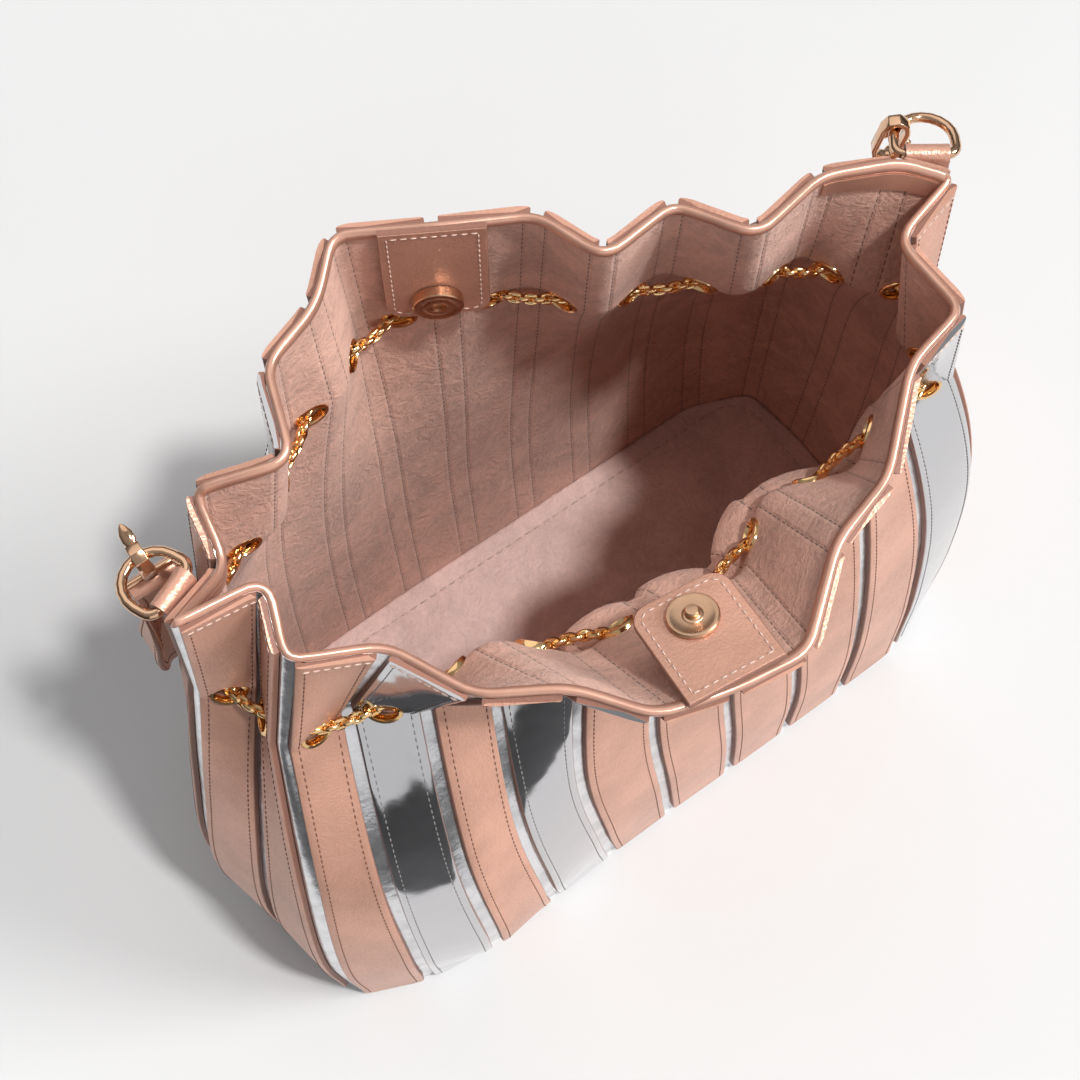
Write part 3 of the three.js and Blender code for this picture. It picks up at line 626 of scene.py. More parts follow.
def stitches_on(places, ways, outs):
    """Matrices that lay a stitch along each way on the surface with each outward way."""
    ways, outs = unit(ways), np.asarray(outs, float)
    outs = unit(outs - ways * np.sum(ways * outs, axis=1, keepdims=True))
    sides = np.cross(outs, ways)
    return [basis(w, s, o, p) for p, w, s, o in zip(places, ways, sides, outs)]


def sew(name, finish, stitch, matrices):
    """One piece of like stitches."""
    finish_piece(scatter(name, stitch_shape(*stitch), matrices), finish)


def line_spans(line):
    """Distance of each point of a line from its start."""
    return np.r_[0, np.cumsum(np.linalg.norm(np.diff(line, axis=0), axis=1))]


def along_line(line, distances, spans=None):
    """Places at these distances along a line, or other values that are known at its points' distances."""
    spans = line_spans(line) if spans is None else spans
    return np.stack([np.interp(distances, spans, line[:, i]) for i in range(3)], axis=1)


def smooth_path(points, count):
    """Even places on a centripetal curve through the points, their spots among the points, and its length."""
    points = np.asarray(points, float)
    padded = np.vstack([2 * points[0] - points[1], points, 2 * points[-1] - points[-2]])
    samples, spots = [], []
    for i in range(len(points) - 1):
        p = padded[i:i + 4]
        k = np.r_[0, np.cumsum(np.maximum(np.linalg.norm(np.diff(p, axis=0), axis=1), 1e-6) ** 0.5)]
        for share in np.linspace(0, 1, 24, endpoint=False):
            t = k[1] + (k[2] - k[1]) * share
            a = [((k[j + 1] - t) * p[j] + (t - k[j]) * p[j + 1]) / (k[j + 1] - k[j]) for j in range(3)]
            b = [((k[j + 2] - t) * a[j] + (t - k[j]) * a[j + 1]) / (k[j + 2] - k[j]) for j in range(2)]
            samples.append(((k[2] - t) * b[0] + (t - k[1]) * b[1]) / (k[2] - k[1]))
            spots.append(i + share)
    samples, spots = np.array([*samples, points[-1]]), np.array([*spots, len(points) - 1])
    spans = line_spans(samples)
    even = np.linspace(0, spans[-1], count)
    return along_line(samples, even), np.interp(even, spans, spots), spans[-1]


class Value:
    """A socket whose operators add Math nodes."""

    def __init__(self, nodes, socket):
        self.nodes, self.socket = nodes, socket

    def _math(self, operation, first, second):
        return self.nodes.node("ShaderNodeMath", {"operation": operation}, {0: first, 1: second})[0]

    def __add__(self, other):
        return self._math("ADD", self, other)

    def __radd__(self, other):
        return self._math("ADD", other, self)

    def __sub__(self, other):
        return self._math("SUBTRACT", self, other)

    def __rsub__(self, other):
        return self._math("SUBTRACT", other, self)

    def __mul__(self, other):
        return self._math("MULTIPLY", self, other)

    def __rmul__(self, other):
        return self._math("MULTIPLY", other, self)

    def __truediv__(self, other):
        return self._math("DIVIDE", self, other)

    def __rtruediv__(self, other):
        return self._math("DIVIDE", other, self)

    def fraction(self):
        return self._math("FRACT", self, 0.0)

    def size(self):
        return self._math("ABSOLUTE", self, 0.0)


class Nodes:
    """A node tree and the nodes that are added to it."""

    def __init__(self, tree):
        self.tree = tree

    def node(self, kind, settings=None, values=None):
        node = self.tree.nodes.new(kind)
        for key, value in (settings or {}).items():
            setattr(node, key, value)
        for key, value in (values or {}).items():
            self.connect(value, node.inputs[key])
        return [Value(self, socket) for socket in node.outputs]

    def connect(self, value, socket):
        if isinstance(value, Value):
            self.tree.links.new(value.socket, socket)
        elif socket.type == "RGBA":
            socket.default_value = (*value[:3], 1.0)
        else:
            socket.default_value = value


class Finish(Nodes):
    """A material and what its shader is fed with."""

    def __init__(self, name, **constants):
        self.material = bpy.data.materials.new(name)
        self.material.use_nodes = True
        super().__init__(self.material.node_tree)
        self.shader = self.tree.nodes["Principled BSDF"]
        for key, value in constants.items():
            self.shader.inputs[key.replace("_", " ")].default_value = value

    def feed(self, key, value):
        self.connect(value, self.shader.inputs[key])

    def place(self):
        return self.node("ShaderNodeTexCoord")[3]

    def across_up(self):
        uv = self.node("ShaderNodeUVMap", {"uv_map": "UVMap"})[0]
        x, y, _ = self.node("ShaderNodeSeparateXYZ", None, {0: uv})
        return x, y

    def painted_edge(self):
        """One on cut edges, where the UV falls below zero."""
        return 1 - self.ramp(self.across_up()[0], 0.0, 0.5)

    def noise(self, scale, detail=3.0, roughness=0.55, distortion=0.0):
        values = {"Vector": self.place(), "Scale": scale, "Detail": detail, "Roughness": roughness}
        return self.node("ShaderNodeTexNoise", None, values | {"Distortion": distortion})[0]

    def cells(self, scale):
        return self.node("ShaderNodeTexVoronoi", None, {"Vector": self.place(), "Scale": scale})[0]

    def ramp(self, value, low, high):
        values = {"Value": value, "From Min": low, "From Max": high}
        return self.node("ShaderNodeMapRange", {"interpolation_type": "SMOOTHSTEP", "clamp": True}, values)[0]

    def blend(self, factor, first, second):
        return self.node("ShaderNodeMix", {"data_type": "RGBA"}, {0: factor, 6: first, 7: second})[2]

    def shades(self, factor, colour, first, second):
        return self.blend(factor, shade(colour, first), shade(colour, second))

    def bump(self, height, strength, distance):
        values = {"Height": height, "Strength": strength, "Distance": distance}
        return self.node("ShaderNodeBump", None, values)[0]


def shade(colour, share):
    return tuple(channel * share for channel in colour[:3])


def leather_grain(finish, scale):
    """Fine pebbled grain with soft creases, from 0 to about 1."""
    return finish.cells(scale) * 0.8 + finish.noise(scale * 0.22, 4.0) * 0.25


def rose_leather(name):
    """Fine-grained rose leather with a metallic sheen and painted edges."""
    c = colours()
    finish = Finish(name, IOR=1.5, Specular_IOR_Level=0.3)
    grain = leather_grain(finish, 900.0)
    fleck = finish.noise(2600.0, 1.0)
    tone = finish.shades(finish.ramp(finish.noise(38.0, 4.0), 0.3, 0.7), c.rose, 0.88, 1.08)
    tone = finish.blend(finish.ramp(fleck, 0.52, 0.78) * 0.22, tone, (0.95, 0.72, 0.62))
    edge = finish.painted_edge()
    finish.feed("Base Color", finish.blend(edge, tone, c.edge))
    finish.feed("Metallic", (1 - edge) * 0.42)
    finish.feed("Roughness", finish.ramp(grain, 0.2, 0.9) * 0.16 + 0.29 + edge * 0.1)
    finish.feed("Normal", finish.bump(grain, 0.26, 0.0005))
    return finish.material


def mirror_leather(name):
    """Bright silver leather that mirrors its surroundings, a little uneven, with painted edges."""
    c = colours()
    finish = Finish(name, IOR=1.5)
    sway = finish.noise(26.0, 2.0)
    crease = finish.noise(150.0, 3.0)
    edge = finish.painted_edge()
    finish.feed("Base Color", finish.blend(edge, c.mirror, shade(c.edge, 1.2)))
    finish.feed("Metallic", 1 - edge * 0.8)
    finish.feed("Roughness", finish.ramp(crease, 0.4, 0.8) * 0.04 + 0.085 + edge * 0.3)
    finish.feed("Normal", finish.bump(sway + crease * 0.015, 0.25, 0.004))
    return finish.material


def silver_leather(name):
    """Bright silver leather between the strips, faintly streaked."""
    finish = Finish(name, IOR=1.5, Metallic=0.95)
    grain = leather_grain(finish, 800.0)
    streak = finish.noise(90.0, 3.0)
    finish.feed("Base Color", finish.shades(finish.ramp(streak, 0.35, 0.65), colours().silver, 1.05, 0.8))
    finish.feed("Roughness", finish.ramp(grain, 0.2, 0.9) * 0.06 + 0.2)
    finish.feed("Normal", finish.bump(streak + grain * 0.03, 0.2, 0.002))
    return finish.material


def binding_leather(name):
    """Smooth, shinier rose leather of the rim."""
    finish = Finish(name, IOR=1.5, Metallic=0.55)
    cloud = finish.noise(60.0, 3.0)
    finish.feed("Base Color", finish.shades(finish.ramp(cloud, 0.3, 0.7), colours().binding, 0.9, 1.08))
    finish.feed("Roughness", finish.ramp(cloud, 0.2, 0.9) * 0.1 + 0.27)
    finish.feed("Normal", finish.bump(leather_grain(finish, 1100.0), 0.06, 0.00025))
    return finish.material


def suede(name, colour, mottle, seam=0.0):
    """Matt suede with a brushed nap. Dark stitches run up the lining at a distance from the folds."""
    finish = Finish(name, IOR=1.4, Sheen_Weight=0.2, Sheen_Roughness=0.5, Specular_IOR_Level=0.15)
    brushed = finish.noise(26.0, 6.0, 0.7, 0.6)
    swirl = finish.noise(95.0, 4.0, 0.65, 3.2)
    nap = finish.noise(420.0, 3.0, 0.6, 1.5)
    tone = finish.shades(finish.ramp(brushed, 0.36, 0.64), colour, 1 - 0.32 * mottle, 1 + 0.16 * mottle)
    tone = finish.blend(finish.ramp(swirl, 0.42, 0.64) * (0.45 * mottle), tone, shade(colour, 1.3))
    tone = finish.blend(finish.ramp(nap, 0.45, 0.65) * (0.45 * mottle), tone, shade(colour, 0.6))
    height = swirl * 1.6 - nap * 0.8
    if seam:
        across, up = finish.across_up()
        off = (across - seam).size()
        line = 1 - finish.ramp(off, 0.1, 0.3)
        dash = finish.ramp((up / 3.4).fraction(), 0.3, 0.42)
        groove_and_shade = 1 - finish.ramp(off, 0.2, 1.5)
        # The groove beside the stitches is sunk in the bump, and its colour is darkened a little there as
        # painted shade in the groove.
        tone = finish.blend(groove_and_shade * 0.07, tone, shade(colour, 0.5))
        tone = finish.blend(line * dash * 0.85, tone, shade(colour, 0.14))
        height = height - groove_and_shade * 0.5 + line * dash * 0.2
    finish.feed("Base Color", tone)
    finish.feed("Roughness", finish.ramp(nap, 0.3, 0.7) * 0.1 + 0.82)
    finish.feed("Normal", finish.bump(height, 0.6, 0.0012))
    return finish.material


def gold_metal(name, colour, dull=0.1):
    """Polished or satin metal with faint scratches and wear."""
    finish = Finish(name, Metallic=1.0)
    wear = finish.noise(240.0, 4.0)
    haze = finish.noise(70.0, 2.0)
    finish.feed("Base Color", finish.shades(finish.ramp(haze, 0.35, 0.7), colour, 0.9, 1.06))
    finish.feed("Roughness", finish.ramp(wear, 0.35, 0.75) * 0.1 + dull)
    finish.feed("Normal", finish.bump(wear, 0.05, 0.0003))
    return finish.material


def thread(name, colour):
    """Waxed sewing thread, twisted."""
    finish = Finish(name, IOR=1.45)
    twist = finish.noise(1800.0, 2.0)
    finish.feed("Base Color", finish.shades(finish.ramp(twist, 0.35, 0.65), colour, 0.75, 1.1))
    finish.feed("Roughness", finish.ramp(twist, 0.3, 0.7) * 0.15 + 0.5)
    finish.feed("Normal", finish.bump(twist, 0.3, 0.0003))
    return finish.material


def pale_floor(name):
    """Matt floor, barely uneven in tone."""
    finish = Finish(name, Roughness=0.6, Specular_IOR_Level=0.2)
    cloud = finish.noise(3.0, 3.0)
    finish.feed("Base Color", finish.shades(finish.ramp(cloud, 0.3, 0.7), colours().floor, 0.99, 1.01))
    return finish.material


def finish_named(name):
    """The material of that name, made once."""
    c = colours()
    makers = {
        "rose leather": (rose_leather,),
        "mirror leather": (mirror_leather,),
        "silver leather": (silver_leather,),
        "binding leather": (binding_leather,),
        "lining suede": (suede, c.suede, 0.65, 4.6),
        "base suede": (suede, c.base_suede, 0.4),
        "chain gold": (gold_metal, c.gold),
        "pale gold": (gold_metal, c.pale_gold),
        "satin gold": (gold_metal, shade(c.pale_gold, 0.85), 0.26),
        "dark thread": (thread, c.dark_thread),
        "pale thread": (thread, c.pale_thread),
        "grey thread": (thread, c.grey_thread),
        "pale floor": (pale_floor,),
    }
    maker, *settings = makers[name]
    return bpy.data.materials.get(name) or maker(name, *settings)


def almond(insets, count=20):
    """Points round an almond inside the eyelet's outline, with its pointed ends along X."""
    s = sizes()
    angles = np.linspace(0, 2 * np.pi, count, endpoint=False)
    across = np.sin(angles)
    long_half, short_half = mm(s.eyelet_length) / 2 - insets[0], mm(s.eyelet_height) / 2 - insets[1]
    return np.stack([long_half * np.cos(angles), short_half * across * np.abs(across) ** 0.12], axis=1)


def cut_slots(obj, folds, inner, outer):
    """Cuts the chain's slots of these strips through a layer of the wall."""
    outline = almond(SLOT_INSETS)
    prism = loft_faces(2, len(outline)) + end_faces(2, len(outline))
    points, faces = [], []
    for k in folds:
        middle, along, up, out = slot_frame(k)
        faces += [tuple(v + len(points) for v in face) for face in prism]
        for depth in (inner, outer):
            points.extend(middle + along * x + up * y + out * depth for x, y in outline)
    cutter = mesh_piece("slot_cutter", points, faces, smooth=False)
    face_outward(cutter)
    apply_modifier(obj, "BOOLEAN", operation="DIFFERENCE", solver="MANIFOLD", object=cutter)
    bpy.data.objects.remove(cutter, do_unlink=True)


def wall_layer(name, depths, heights, shares, puffs):
    """A closed wall between two distances from its middle surface, puffed inward at some strips."""
    inner, outer = depths
    points, outs, distances = ring_grid(heights, shares)
    rows, columns = distances.shape
    swell = np.zeros((rows, columns))
    rise = np.cos(np.clip((heights - PUFF_HEIGHT) / PUFF_REACH, -1, 1) * np.pi / 2) ** 2
    across = np.r_[np.zeros(len(FOLD_STEPS)), np.sin(np.pi * np.array(shares)) ** 0.5]
    each = columns // FOLD_COUNT
    for k, depth in puffs.items():
        swell[:, k * each:(k + 1) * each] = rise[:, None] * depth * (0.78 + 0.22 * across)
    inside = points + outs * inner + PUFF_WAY * swell[:, :, None]
    layers = np.concatenate([(points + outs * outer).reshape(-1, 3), inside.reshape(-1, 3)])
    faces = loft_faces(rows, columns, flip=True)
    offset = rows * columns
    faces += [tuple(v + offset for v in face) for face in loft_faces(rows, columns)]
    top = (rows - 1) * columns
    for j in range(columns):
        k = (j + 1) % columns
        faces.append((j, k, offset + k, offset + j))
        faces.append((top + k, top + j, offset + top + j, offset + top + k))
    lifts = np.broadcast_to(heights[:, None], distances.shape)
    uvs = np.stack([distances.ravel(), lifts.ravel()], axis=1)
    return mesh_piece(name, layers, faces, np.concatenate([uvs, uvs]))


def facing_band(side, first, last):
    """A thin band inside the rim, from one fold to another."""
    points, outs, _ = ring_grid(FACING_HEIGHTS, (0.15, 0.5, 0.85))
    count = points.shape[1]
    each = count // FOLD_COUNT
    columns = [j % count for j in range(first * each + 2, last * each + 3)]
    loops = [points[i, j] - outs[i, j] * depth for j in columns for i, depth in FACING_SECTION]
    size = (len(columns), len(FACING_SECTION))
    band = mesh_piece(f"facing_{side}_leather", loops, loft_faces(*size) + end_faces(*size))
    face_outward(band)
    finish_piece(band, "binding leather", angle=40)


class HANDBAG_OT_wall(bpy.types.Operator):
    """Make the gathered wall, its suede lining and the facings inside the rim"""
    bl_idname = "handbag.wall"
    bl_label = "Wall and lining"

    def execute(self, context):
        shell = wall_layer("wall_silver", SHELL_FACES, WALL_HEIGHTS, (0.2, 0.5, 0.8), {})
        cut_slots(shell, range(FOLD_COUNT), -3, 4)
        finish_piece(shell, "silver leather", ["shell"], 40)
        shares = (0.08, 0.16, 0.3, 0.5, 0.7, 0.84, 0.92)
        lining = wall_layer("lining_suede", LINING_FACES, LINING_HEIGHTS, shares, PUFFS)
        cut_slots(lining, range(FOLD_COUNT), -4, 3)
        finish_piece(lining, "lining suede", ["lining"], 40)
        for side, folds in FACINGS.items():
            facing_band(side, *folds)
        return {"FINISHED"}


def strip_mesh(k):
    """One applied strip with rounded, painted edges."""
    rows = wall_rows(STRIP_HEIGHTS)
    span = strip_span(rows, k)
    before, after = gap_half(k), gap_half(k + 1)
    marks = [0.0, 0.35, 1.0, 2.6, 4.6]
    columns = [(mark, np.full(len(rows), before + mark)) for mark in marks]
    columns += [(9.0, before + (span - before - after) * share) for share in (0.3, 0.42, 0.5, 0.58, 0.7)]
    columns += [(mark, span - after - mark) for mark in reversed(marks)]
    points = np.stack([strip_at(rows, k, d) for _, d in columns], axis=1)
    outs = outward(points, False)
    last, high = len(columns) - 1, strip_face()
    crowns = [high - 0.7, high - 0.2, high, high + 0.02, high + 0.04]
    edge = [STRIP_BACK, crowns[0] - 0.1]
    loop = [(0, lift, -1.0) for lift in edge]
    loop += [(j, crowns[min(j, last - j, 4)], columns[j][0]) for j in range(last + 1)]
    loop += [(last, lift, -1.0) for lift in reversed(edge)]
    loop += [(j, STRIP_BACK, -1.0) for j in (last - 3, last - 4, last // 2 + 1, last // 2 - 1, 4, 3)]
    layers = np.stack([points[:, j] + outs[:, j] * lift for j, lift, _ in loop], axis=1)
    faces = loft_faces(len(rows), len(loop), flip=True)
    faces += [end[::-1] for end in end_faces(len(rows), len(loop))]
    uvs = [(mark, height) for height in STRIP_HEIGHTS for _, _, mark in loop]
    return mesh_piece(f"strip_{FOLDS[k][0]}_leather", layers.reshape(-1, 3), faces, uvs)


class HANDBAG_OT_strips(bpy.types.Operator):
    """Make the upright applied strips, rose and mirror silver"""
    bl_idname = "handbag.strips"
    bl_label = "Strips"

    def execute(self, context):
        for k, (name, *_) in enumerate(FOLDS):
            strip = strip_mesh(k)
            cut_slots(strip, [k], -1, 7)
            kind = "mirror" if name in SILVER_STRIPS else "rose"
            finish_piece(strip, f"{kind} leather", [f"strip_{name}"], 35)
        return {"FINISHED"}


class HANDBAG_OT_binding(bpy.types.Operator):
    """Make the rolled binding round the rim"""
    bl_idname = "handbag.binding"
    bl_label = "Rim binding"

    def execute(self, context):
        points, outs, _ = ring_grid([RIM - 1.5, RIM], (0.1, 0.25, 0.5, 0.75, 0.9))
        ups = unit(points[1] - points[0])
        ring = np.stack([points[1] + outs[1] * out + ups * up for out, up in BINDING_SECTION], axis=1)
        faces = loft_faces(len(ring), len(BINDING_SECTION), closed_rows=True, flip=True)
        binding = mesh_piece("binding_roll", ring.reshape(-1, 3), faces)
        face_outward(binding)
        finish_piece(binding, "binding leather", ["rim_binding"], 60)
        return {"FINISHED"}


class HANDBAG_OT_base(bpy.types.Operator):
    """Make the stiff suede base with its stitched edge"""
    bl_idname = "handbag.base"
    bl_label = "Base"

    def execute(self, context):
        shares = (0.25, 0.5, 0.75)
        edge = ring_grid([0.0, 1.0], shares)[0][0]
        offsets = FOLD_STEPS + [GAP_HALF + share * (STRIP_PITCH - 2 * GAP_HALF) for share in shares]
        starts = [STRIP_PITCH * (k - FRONT_CENTRE_FOLD) for k in range(FOLD_COUNT)]
        around = STRIP_PITCH * FOLD_COUNT
        plan = [base_point((start + offset) % around) for start in starts for offset in offsets]
        ideal, out = (np.array([(*column[i], 0.0) for column in plan]) for i in (0, 1))
        rings = [(edge if inset < 6 else ideal) - out * inset + np.array((0, 0, lift))
                 for inset, lift in BASE_SECTION]
        count = len(edge)
        faces = loft_faces(len(rings), count, flip=True)
        top, under = len(rings) * count, len(rings) * count + 1
        for j in range(count):
            k = (j + 1) % count
            faces.append((top - count + k, top - count + j, top))
            faces.append((j, k, under))
        middle = [rings[-1].mean(axis=0), rings[0].mean(axis=0)]
        base = mesh_piece("base_suede", np.concatenate([*rings, middle]), faces)
        finish_piece(base, "base suede", ["base_panel"], 50)

        inset, lift = BASE_SEAM
        seam = ideal - out * inset + np.array((0, 0, lift))
        seam = np.vstack([seam, seam[:1]])
        places = along_line(seam, np.arange(2.0, line_spans(seam)[-1], BASE_STITCH_PITCH))
        ways = np.roll(places, -1, axis=0) - np.roll(places, 1, axis=0)
        matrices = stitches_on(places, ways, np.tile((0, 0, 1.0), (len(places), 1)))
        sew("base_stitches", "pale thread", BASE_STITCH, matrices)
        return {"FINISHED"}


def chain_route():
    """Places that the chain passes: a slot in each strip, and a bend at each fold between them."""
    tangent = fold_tangents(NECK_FOLDS)
    right = np.roll(NECK_FOLDS - tangent * GAP_HALF, -1, axis=0)
    slots = (NECK_FOLDS + tangent * GAP_HALF + right) / 2
    outs = unit(np.cross((0, 0, 1.0), tangent))
    route = []
    for i in range(FOLD_COUNT + 1):
        k = (CHAIN_START_FOLD + i) % FOLD_COUNT
        route.append((slots[k - 1] + slots[k]) / 2 + outs[k] * CHAIN_SIDE_STEP[FOLDS[k][1]])
        if i < FOLD_COUNT:
            route.append(slots[k])
    return np.array(route)


class HANDBAG_OT_chain(bpy.types.Operator):
    """Make the laced chain of interlocked links"""
    bl_idname = "handbag.chain"
    bl_label = "Chain"

    def execute(self, context):
        s = sizes()
        route = chain_route()
        _, _, span = smooth_path(route, 2)
        count = int(round(span / mm(s.link_pitch) / 2)) * 2
        path, _, _ = smooth_path(route, count + 1)
        places, ways = (path[1:] + path[:-1]) / 2, unit(path[1:] - path[:-1])
        steps = [("go", LINK_STRAIGHT), ("turn", 180, LINK_BEND)] * 2
        link = wire_shape("link", mm(s.link_wire), 6, steps, 36)
        centre = Matrix.Translation((-LINK_STRAIGHT / 2 * MM, -LINK_BEND * MM, 0))
        matrices = []
        for i, (place, way) in enumerate(zip(places, ways)):
            side = unit(np.cross((0, 0, 1.0), way))
            roll = LINK_ROLLS[i % 2]
            y = side * math.cos(roll) + np.cross(way, side) * math.sin(roll)
            matrices.append(basis(way, y, np.cross(way, y), place) @ centre)
        chain = scatter("chain_links", link, matrices)
        finish_piece(chain, "chain gold", ["draw_chain"], 60)
        return {"FINISHED"}


class HANDBAG_OT_eyelets(bpy.types.Operator):
    """Make the almond eyelets on both faces of the wall"""
    bl_idname = "handbag.eyelets"
    bl_label = "Eyelets"

    def execute(self, context):
        outline = almond(EYELET_INSETS)
        around = unit(np.roll(outline, -1, axis=0) - np.roll(outline, 1, axis=0))
        sides = np.stack([around[:, 1], -around[:, 0]], axis=1)
        points = [(*(p + n * side), lift) for p, n in zip(outline, sides) for side, lift in EYELET_SECTION]
        faces = loft_faces(len(outline), len(EYELET_SECTION), closed_rows=True)
        eyelet = template_shape("eyelet", points, faces)
        face_outward(eyelet)
        matrices = []
        for k in range(FOLD_COUNT):
            middle, along, up, out = slot_frame(k)
            for side, seat, lean in zip((1, -1), (strip_face(), -LINING_FACES[0]), EYELET_LEANS):
                way, cos, sin = out * side, math.cos(lean), math.sin(lean)
                top, front = up * cos - way * sin, way * cos + up * sin
                matrices.append(basis(-along * side, top, front, middle + way * seat))
        eyelets = scatter("eyelets", eyelet, matrices)
        finish_piece(eyelets, "chain gold", angle=50)
        return {"FINISHED"}


def tab_axes(name):
    """Root of a tab, the ways along, down and out of it, its width and its length."""
    root, along, down, width, span = TABS[name]
    x = unit(along)
    z = unit(np.cross(x, down))
    return np.array(root, float), x, np.cross(z, x), z, width, span


def tab_outline(width, span, inset, count=7):
    """Points round a tab from its root, with two rounded corners at the free end."""
    half, corner = width / 2 - inset, TAB_CORNER - inset
    x, y = half - corner, span - inset - corner
    angles = np.linspace(0, np.pi / 2, count)
    right = [(x + corner * math.cos(a), y + corner * math.sin(a)) for a in angles]
    left = [(-x, y) for x, y in reversed(right)]
    return [(half, inset), *right, *left, (-half, inset)]


class HANDBAG_OT_tabs(bpy.types.Operator):
    """Make the two stitched closing tabs"""
    bl_idname = "handbag.tabs"
    bl_label = "Closing tabs"

    def execute(self, context):
        for name in TABS:
            root, x, y, z, width, span = tab_axes(name)
            points, uvs = [], []
            for inset, lift, mark in TAB_LEVELS:
                for px, py in tab_outline(width, span, inset):
                    points.append(root + x * px + y * py + z * lift)
                    uvs.append((mark, py))
            size = (len(TAB_LEVELS), len(points) // len(TAB_LEVELS))
            tab = mesh_piece(f"tab_{name}_leather", points, loft_faces(*size) + end_faces(*size), uvs)
            face_outward(tab)
            finish_piece(tab, "rose leather", [f"tab_{name}"], 40)

            inset, lift = TAB_SEAM
            outline = tab_outline(width, span, inset, 9)
            seam = np.array([root + x * px + y * py + z * lift for px, py in outline])
            seam = np.vstack([seam, seam[:1]])
            even = np.arange(1.2, line_spans(seam)[-1], TAB_STITCH_PITCH)
            places = along_line(seam, even)
            ways = along_line(seam, even + 0.4) - places
            matrices = stitches_on(places, ways, np.tile(z, (len(places), 1)))
            sew(f"tab_{name}_stitches", "pale thread", TAB_STITCH, matrices)
        return {"FINISHED"}


class HANDBAG_OT_snaps(bpy.types.Operator):
    """Make the magnetic snap on each tab: a stud in front and a socket behind"""
    bl_idname = "handbag.snaps"
    bl_label = "Snaps"

    def execute(self, context):
        r = mm(sizes().snap_radius)
        stud = [(r - 0.3, 0), (r, 0.3), (r, 0.9), (r - 0.5, 1.5), (r - 1.4, 1.6), (r - 1.9, 1.35)]
        stud += [(3.6, 1.35), (3.3, 1.6), (2.6, 1.7), (2.4, 1.9), (2.4, 3.6)]
        stud += [(2.0, 4.1), (1.0, 4.2), (0.3, 4.2)]
        socket = [(r - 0.4, 0), (r, 0.4), (r, 3.5), (r - 0.3, 3.9), (r - 0.8, 4.0), (6.0, 4.0), (5.7, 3.8)]
        socket += [(5.3, 3.8), (5.0, 4.0), (3.3, 4.0), (2.9, 3.8), (2.8, 1.8), (1.0, 1.7), (0.3, 1.7)]
        for name, rings in (("front", stud), ("back", socket)):
            root, x, y, z, _, span = tab_axes(name)
            snap = turned_shape(f"snap_{name}_metal", rings, 48)
            place_piece(snap, basis(x, y, z, root + y * (span - SNAP_FROM_END) + z * SNAP_LIFT))
            finish_piece(snap, "satin gold", [f"snap_{name}"], 35)
        return {"FINISHED"}


def turned_way(vector, axis, degrees):
    return np.array(Matrix.Rotation(math.radians(degrees), 3, Vector(axis)) @ Vector(vector))


def end_frame(side):
    """Places and ways of a ring end: loop, ring, hook and strap bar."""
    strip, lean, swing, pull = ENDS[side]
    other = (strip + 1) % FOLD_COUNT
    tangent = fold_tangents(RIM_FOLDS)
    left, right = RIM_FOLDS[strip] + tangent[strip] * GAP_HALF, RIM_FOLDS[other] - tangent[other] * GAP_HALF
    middle = (left + right) / 2
    out = unit(np.cross(unit(RIM_FOLDS[strip] - NECK_FOLDS[strip]), unit(right - left)))
    along = unit(np.cross(out, (0, 0, 1.0)))
    up = np.cross(along, out)
    bar = middle + out * (LOOP_SEAT + LOOP_OUTER) - up * LOOP_DROP
    hang = turned_way(out, along, -lean)
    face = np.cross(along, hang)
    reach, wire = turned_way(hang, face, -swing), turned_way(along, face, -swing)
    pull = unit(np.array(pull, float) - wire * np.dot(pull, wire))
    hook = bar + hang * RING_STRAIGHT + reach * RING_HALF
    hook = hook + pull * (HOOK_BEND - RING_WIRE - HOOK_WIRE - HOOK_SLACK)
    barrel = hook + pull * (HOOK_STRAIGHT + HOOK_BEND - HOOK_SINK)
    eye = barrel + pull * (BARREL_LENGTH - HOOK_SINK)
    return {
        "middle": middle, "out": out, "along": along, "up": up, "bar": bar, "hang": hang, "face": face,
        "wire": wire, "pull": pull, "hook": hook, "barrel": barrel, "eye": eye,
        "strap": eye + pull * EYE_DEPTH,
    }


def loop_piece(side, f):
    """Leather rolled round the ring's bar, with its tail on the strip."""
    centre = LOOP_SEAT + LOOP_OUTER
    start = math.acos((LOOP_SEAT + LOOP_THICKNESS - centre) / LOOP_OUTER)
    turns = [(math.cos(a), math.sin(a)) for a in np.linspace(-start, math.pi, 22)]
    outer = [(depth, -LOOP_DROP - LOOP_TAIL) for depth in (LOOP_SEAT, LOOP_SEAT + LOOP_THICKNESS)]
    outer += [(centre + LOOP_OUTER * c, -LOOP_DROP + LOOP_OUTER * s) for c, s in turns]
    bore = [(centre + LOOP_BORE * c, -LOOP_DROP + LOOP_BORE * s) for c, s in turns]
    half = LOOP_WIDTH / 2
    steps = [(-half, -1.0), (-half + 0.3, 4.0), (half - 0.3, 4.0), (half, -1.0)]
    points, uvs = [], []
    for outline in (outer, bore):
        for along, mark in steps:
            for o, u in outline:
                points.append(f["middle"] + f["out"] * o + f["up"] * u + f["along"] * along)
                uvs.append((-1.0 if outline is bore else mark, u))
    count, inner, shift = len(outer), len(bore), len(steps) * len(outer)
    faces = loft_faces(len(steps), count)
    faces += [tuple(v + shift for v in face) for face in loft_faces(len(steps), inner, flip=True)]
    for row, order in ((0, 1), (len(steps) - 1, -1)):
        a, b = row * count, shift + row * inner
        for i in range(inner - 1):
            faces.append((a + 2 + i, a + 3 + i, b + i + 1, b + i)[::order])
        faces.append((a, a + 1, a + 2, b, b + inner - 1, a + count - 1)[::order])
    loop = mesh_piece(f"ring_loop_{side}_leather", points, faces, uvs)
    face_outward(loop)
    finish_piece(loop, "rose leather", [f"ring_loop_{side}"], 40)


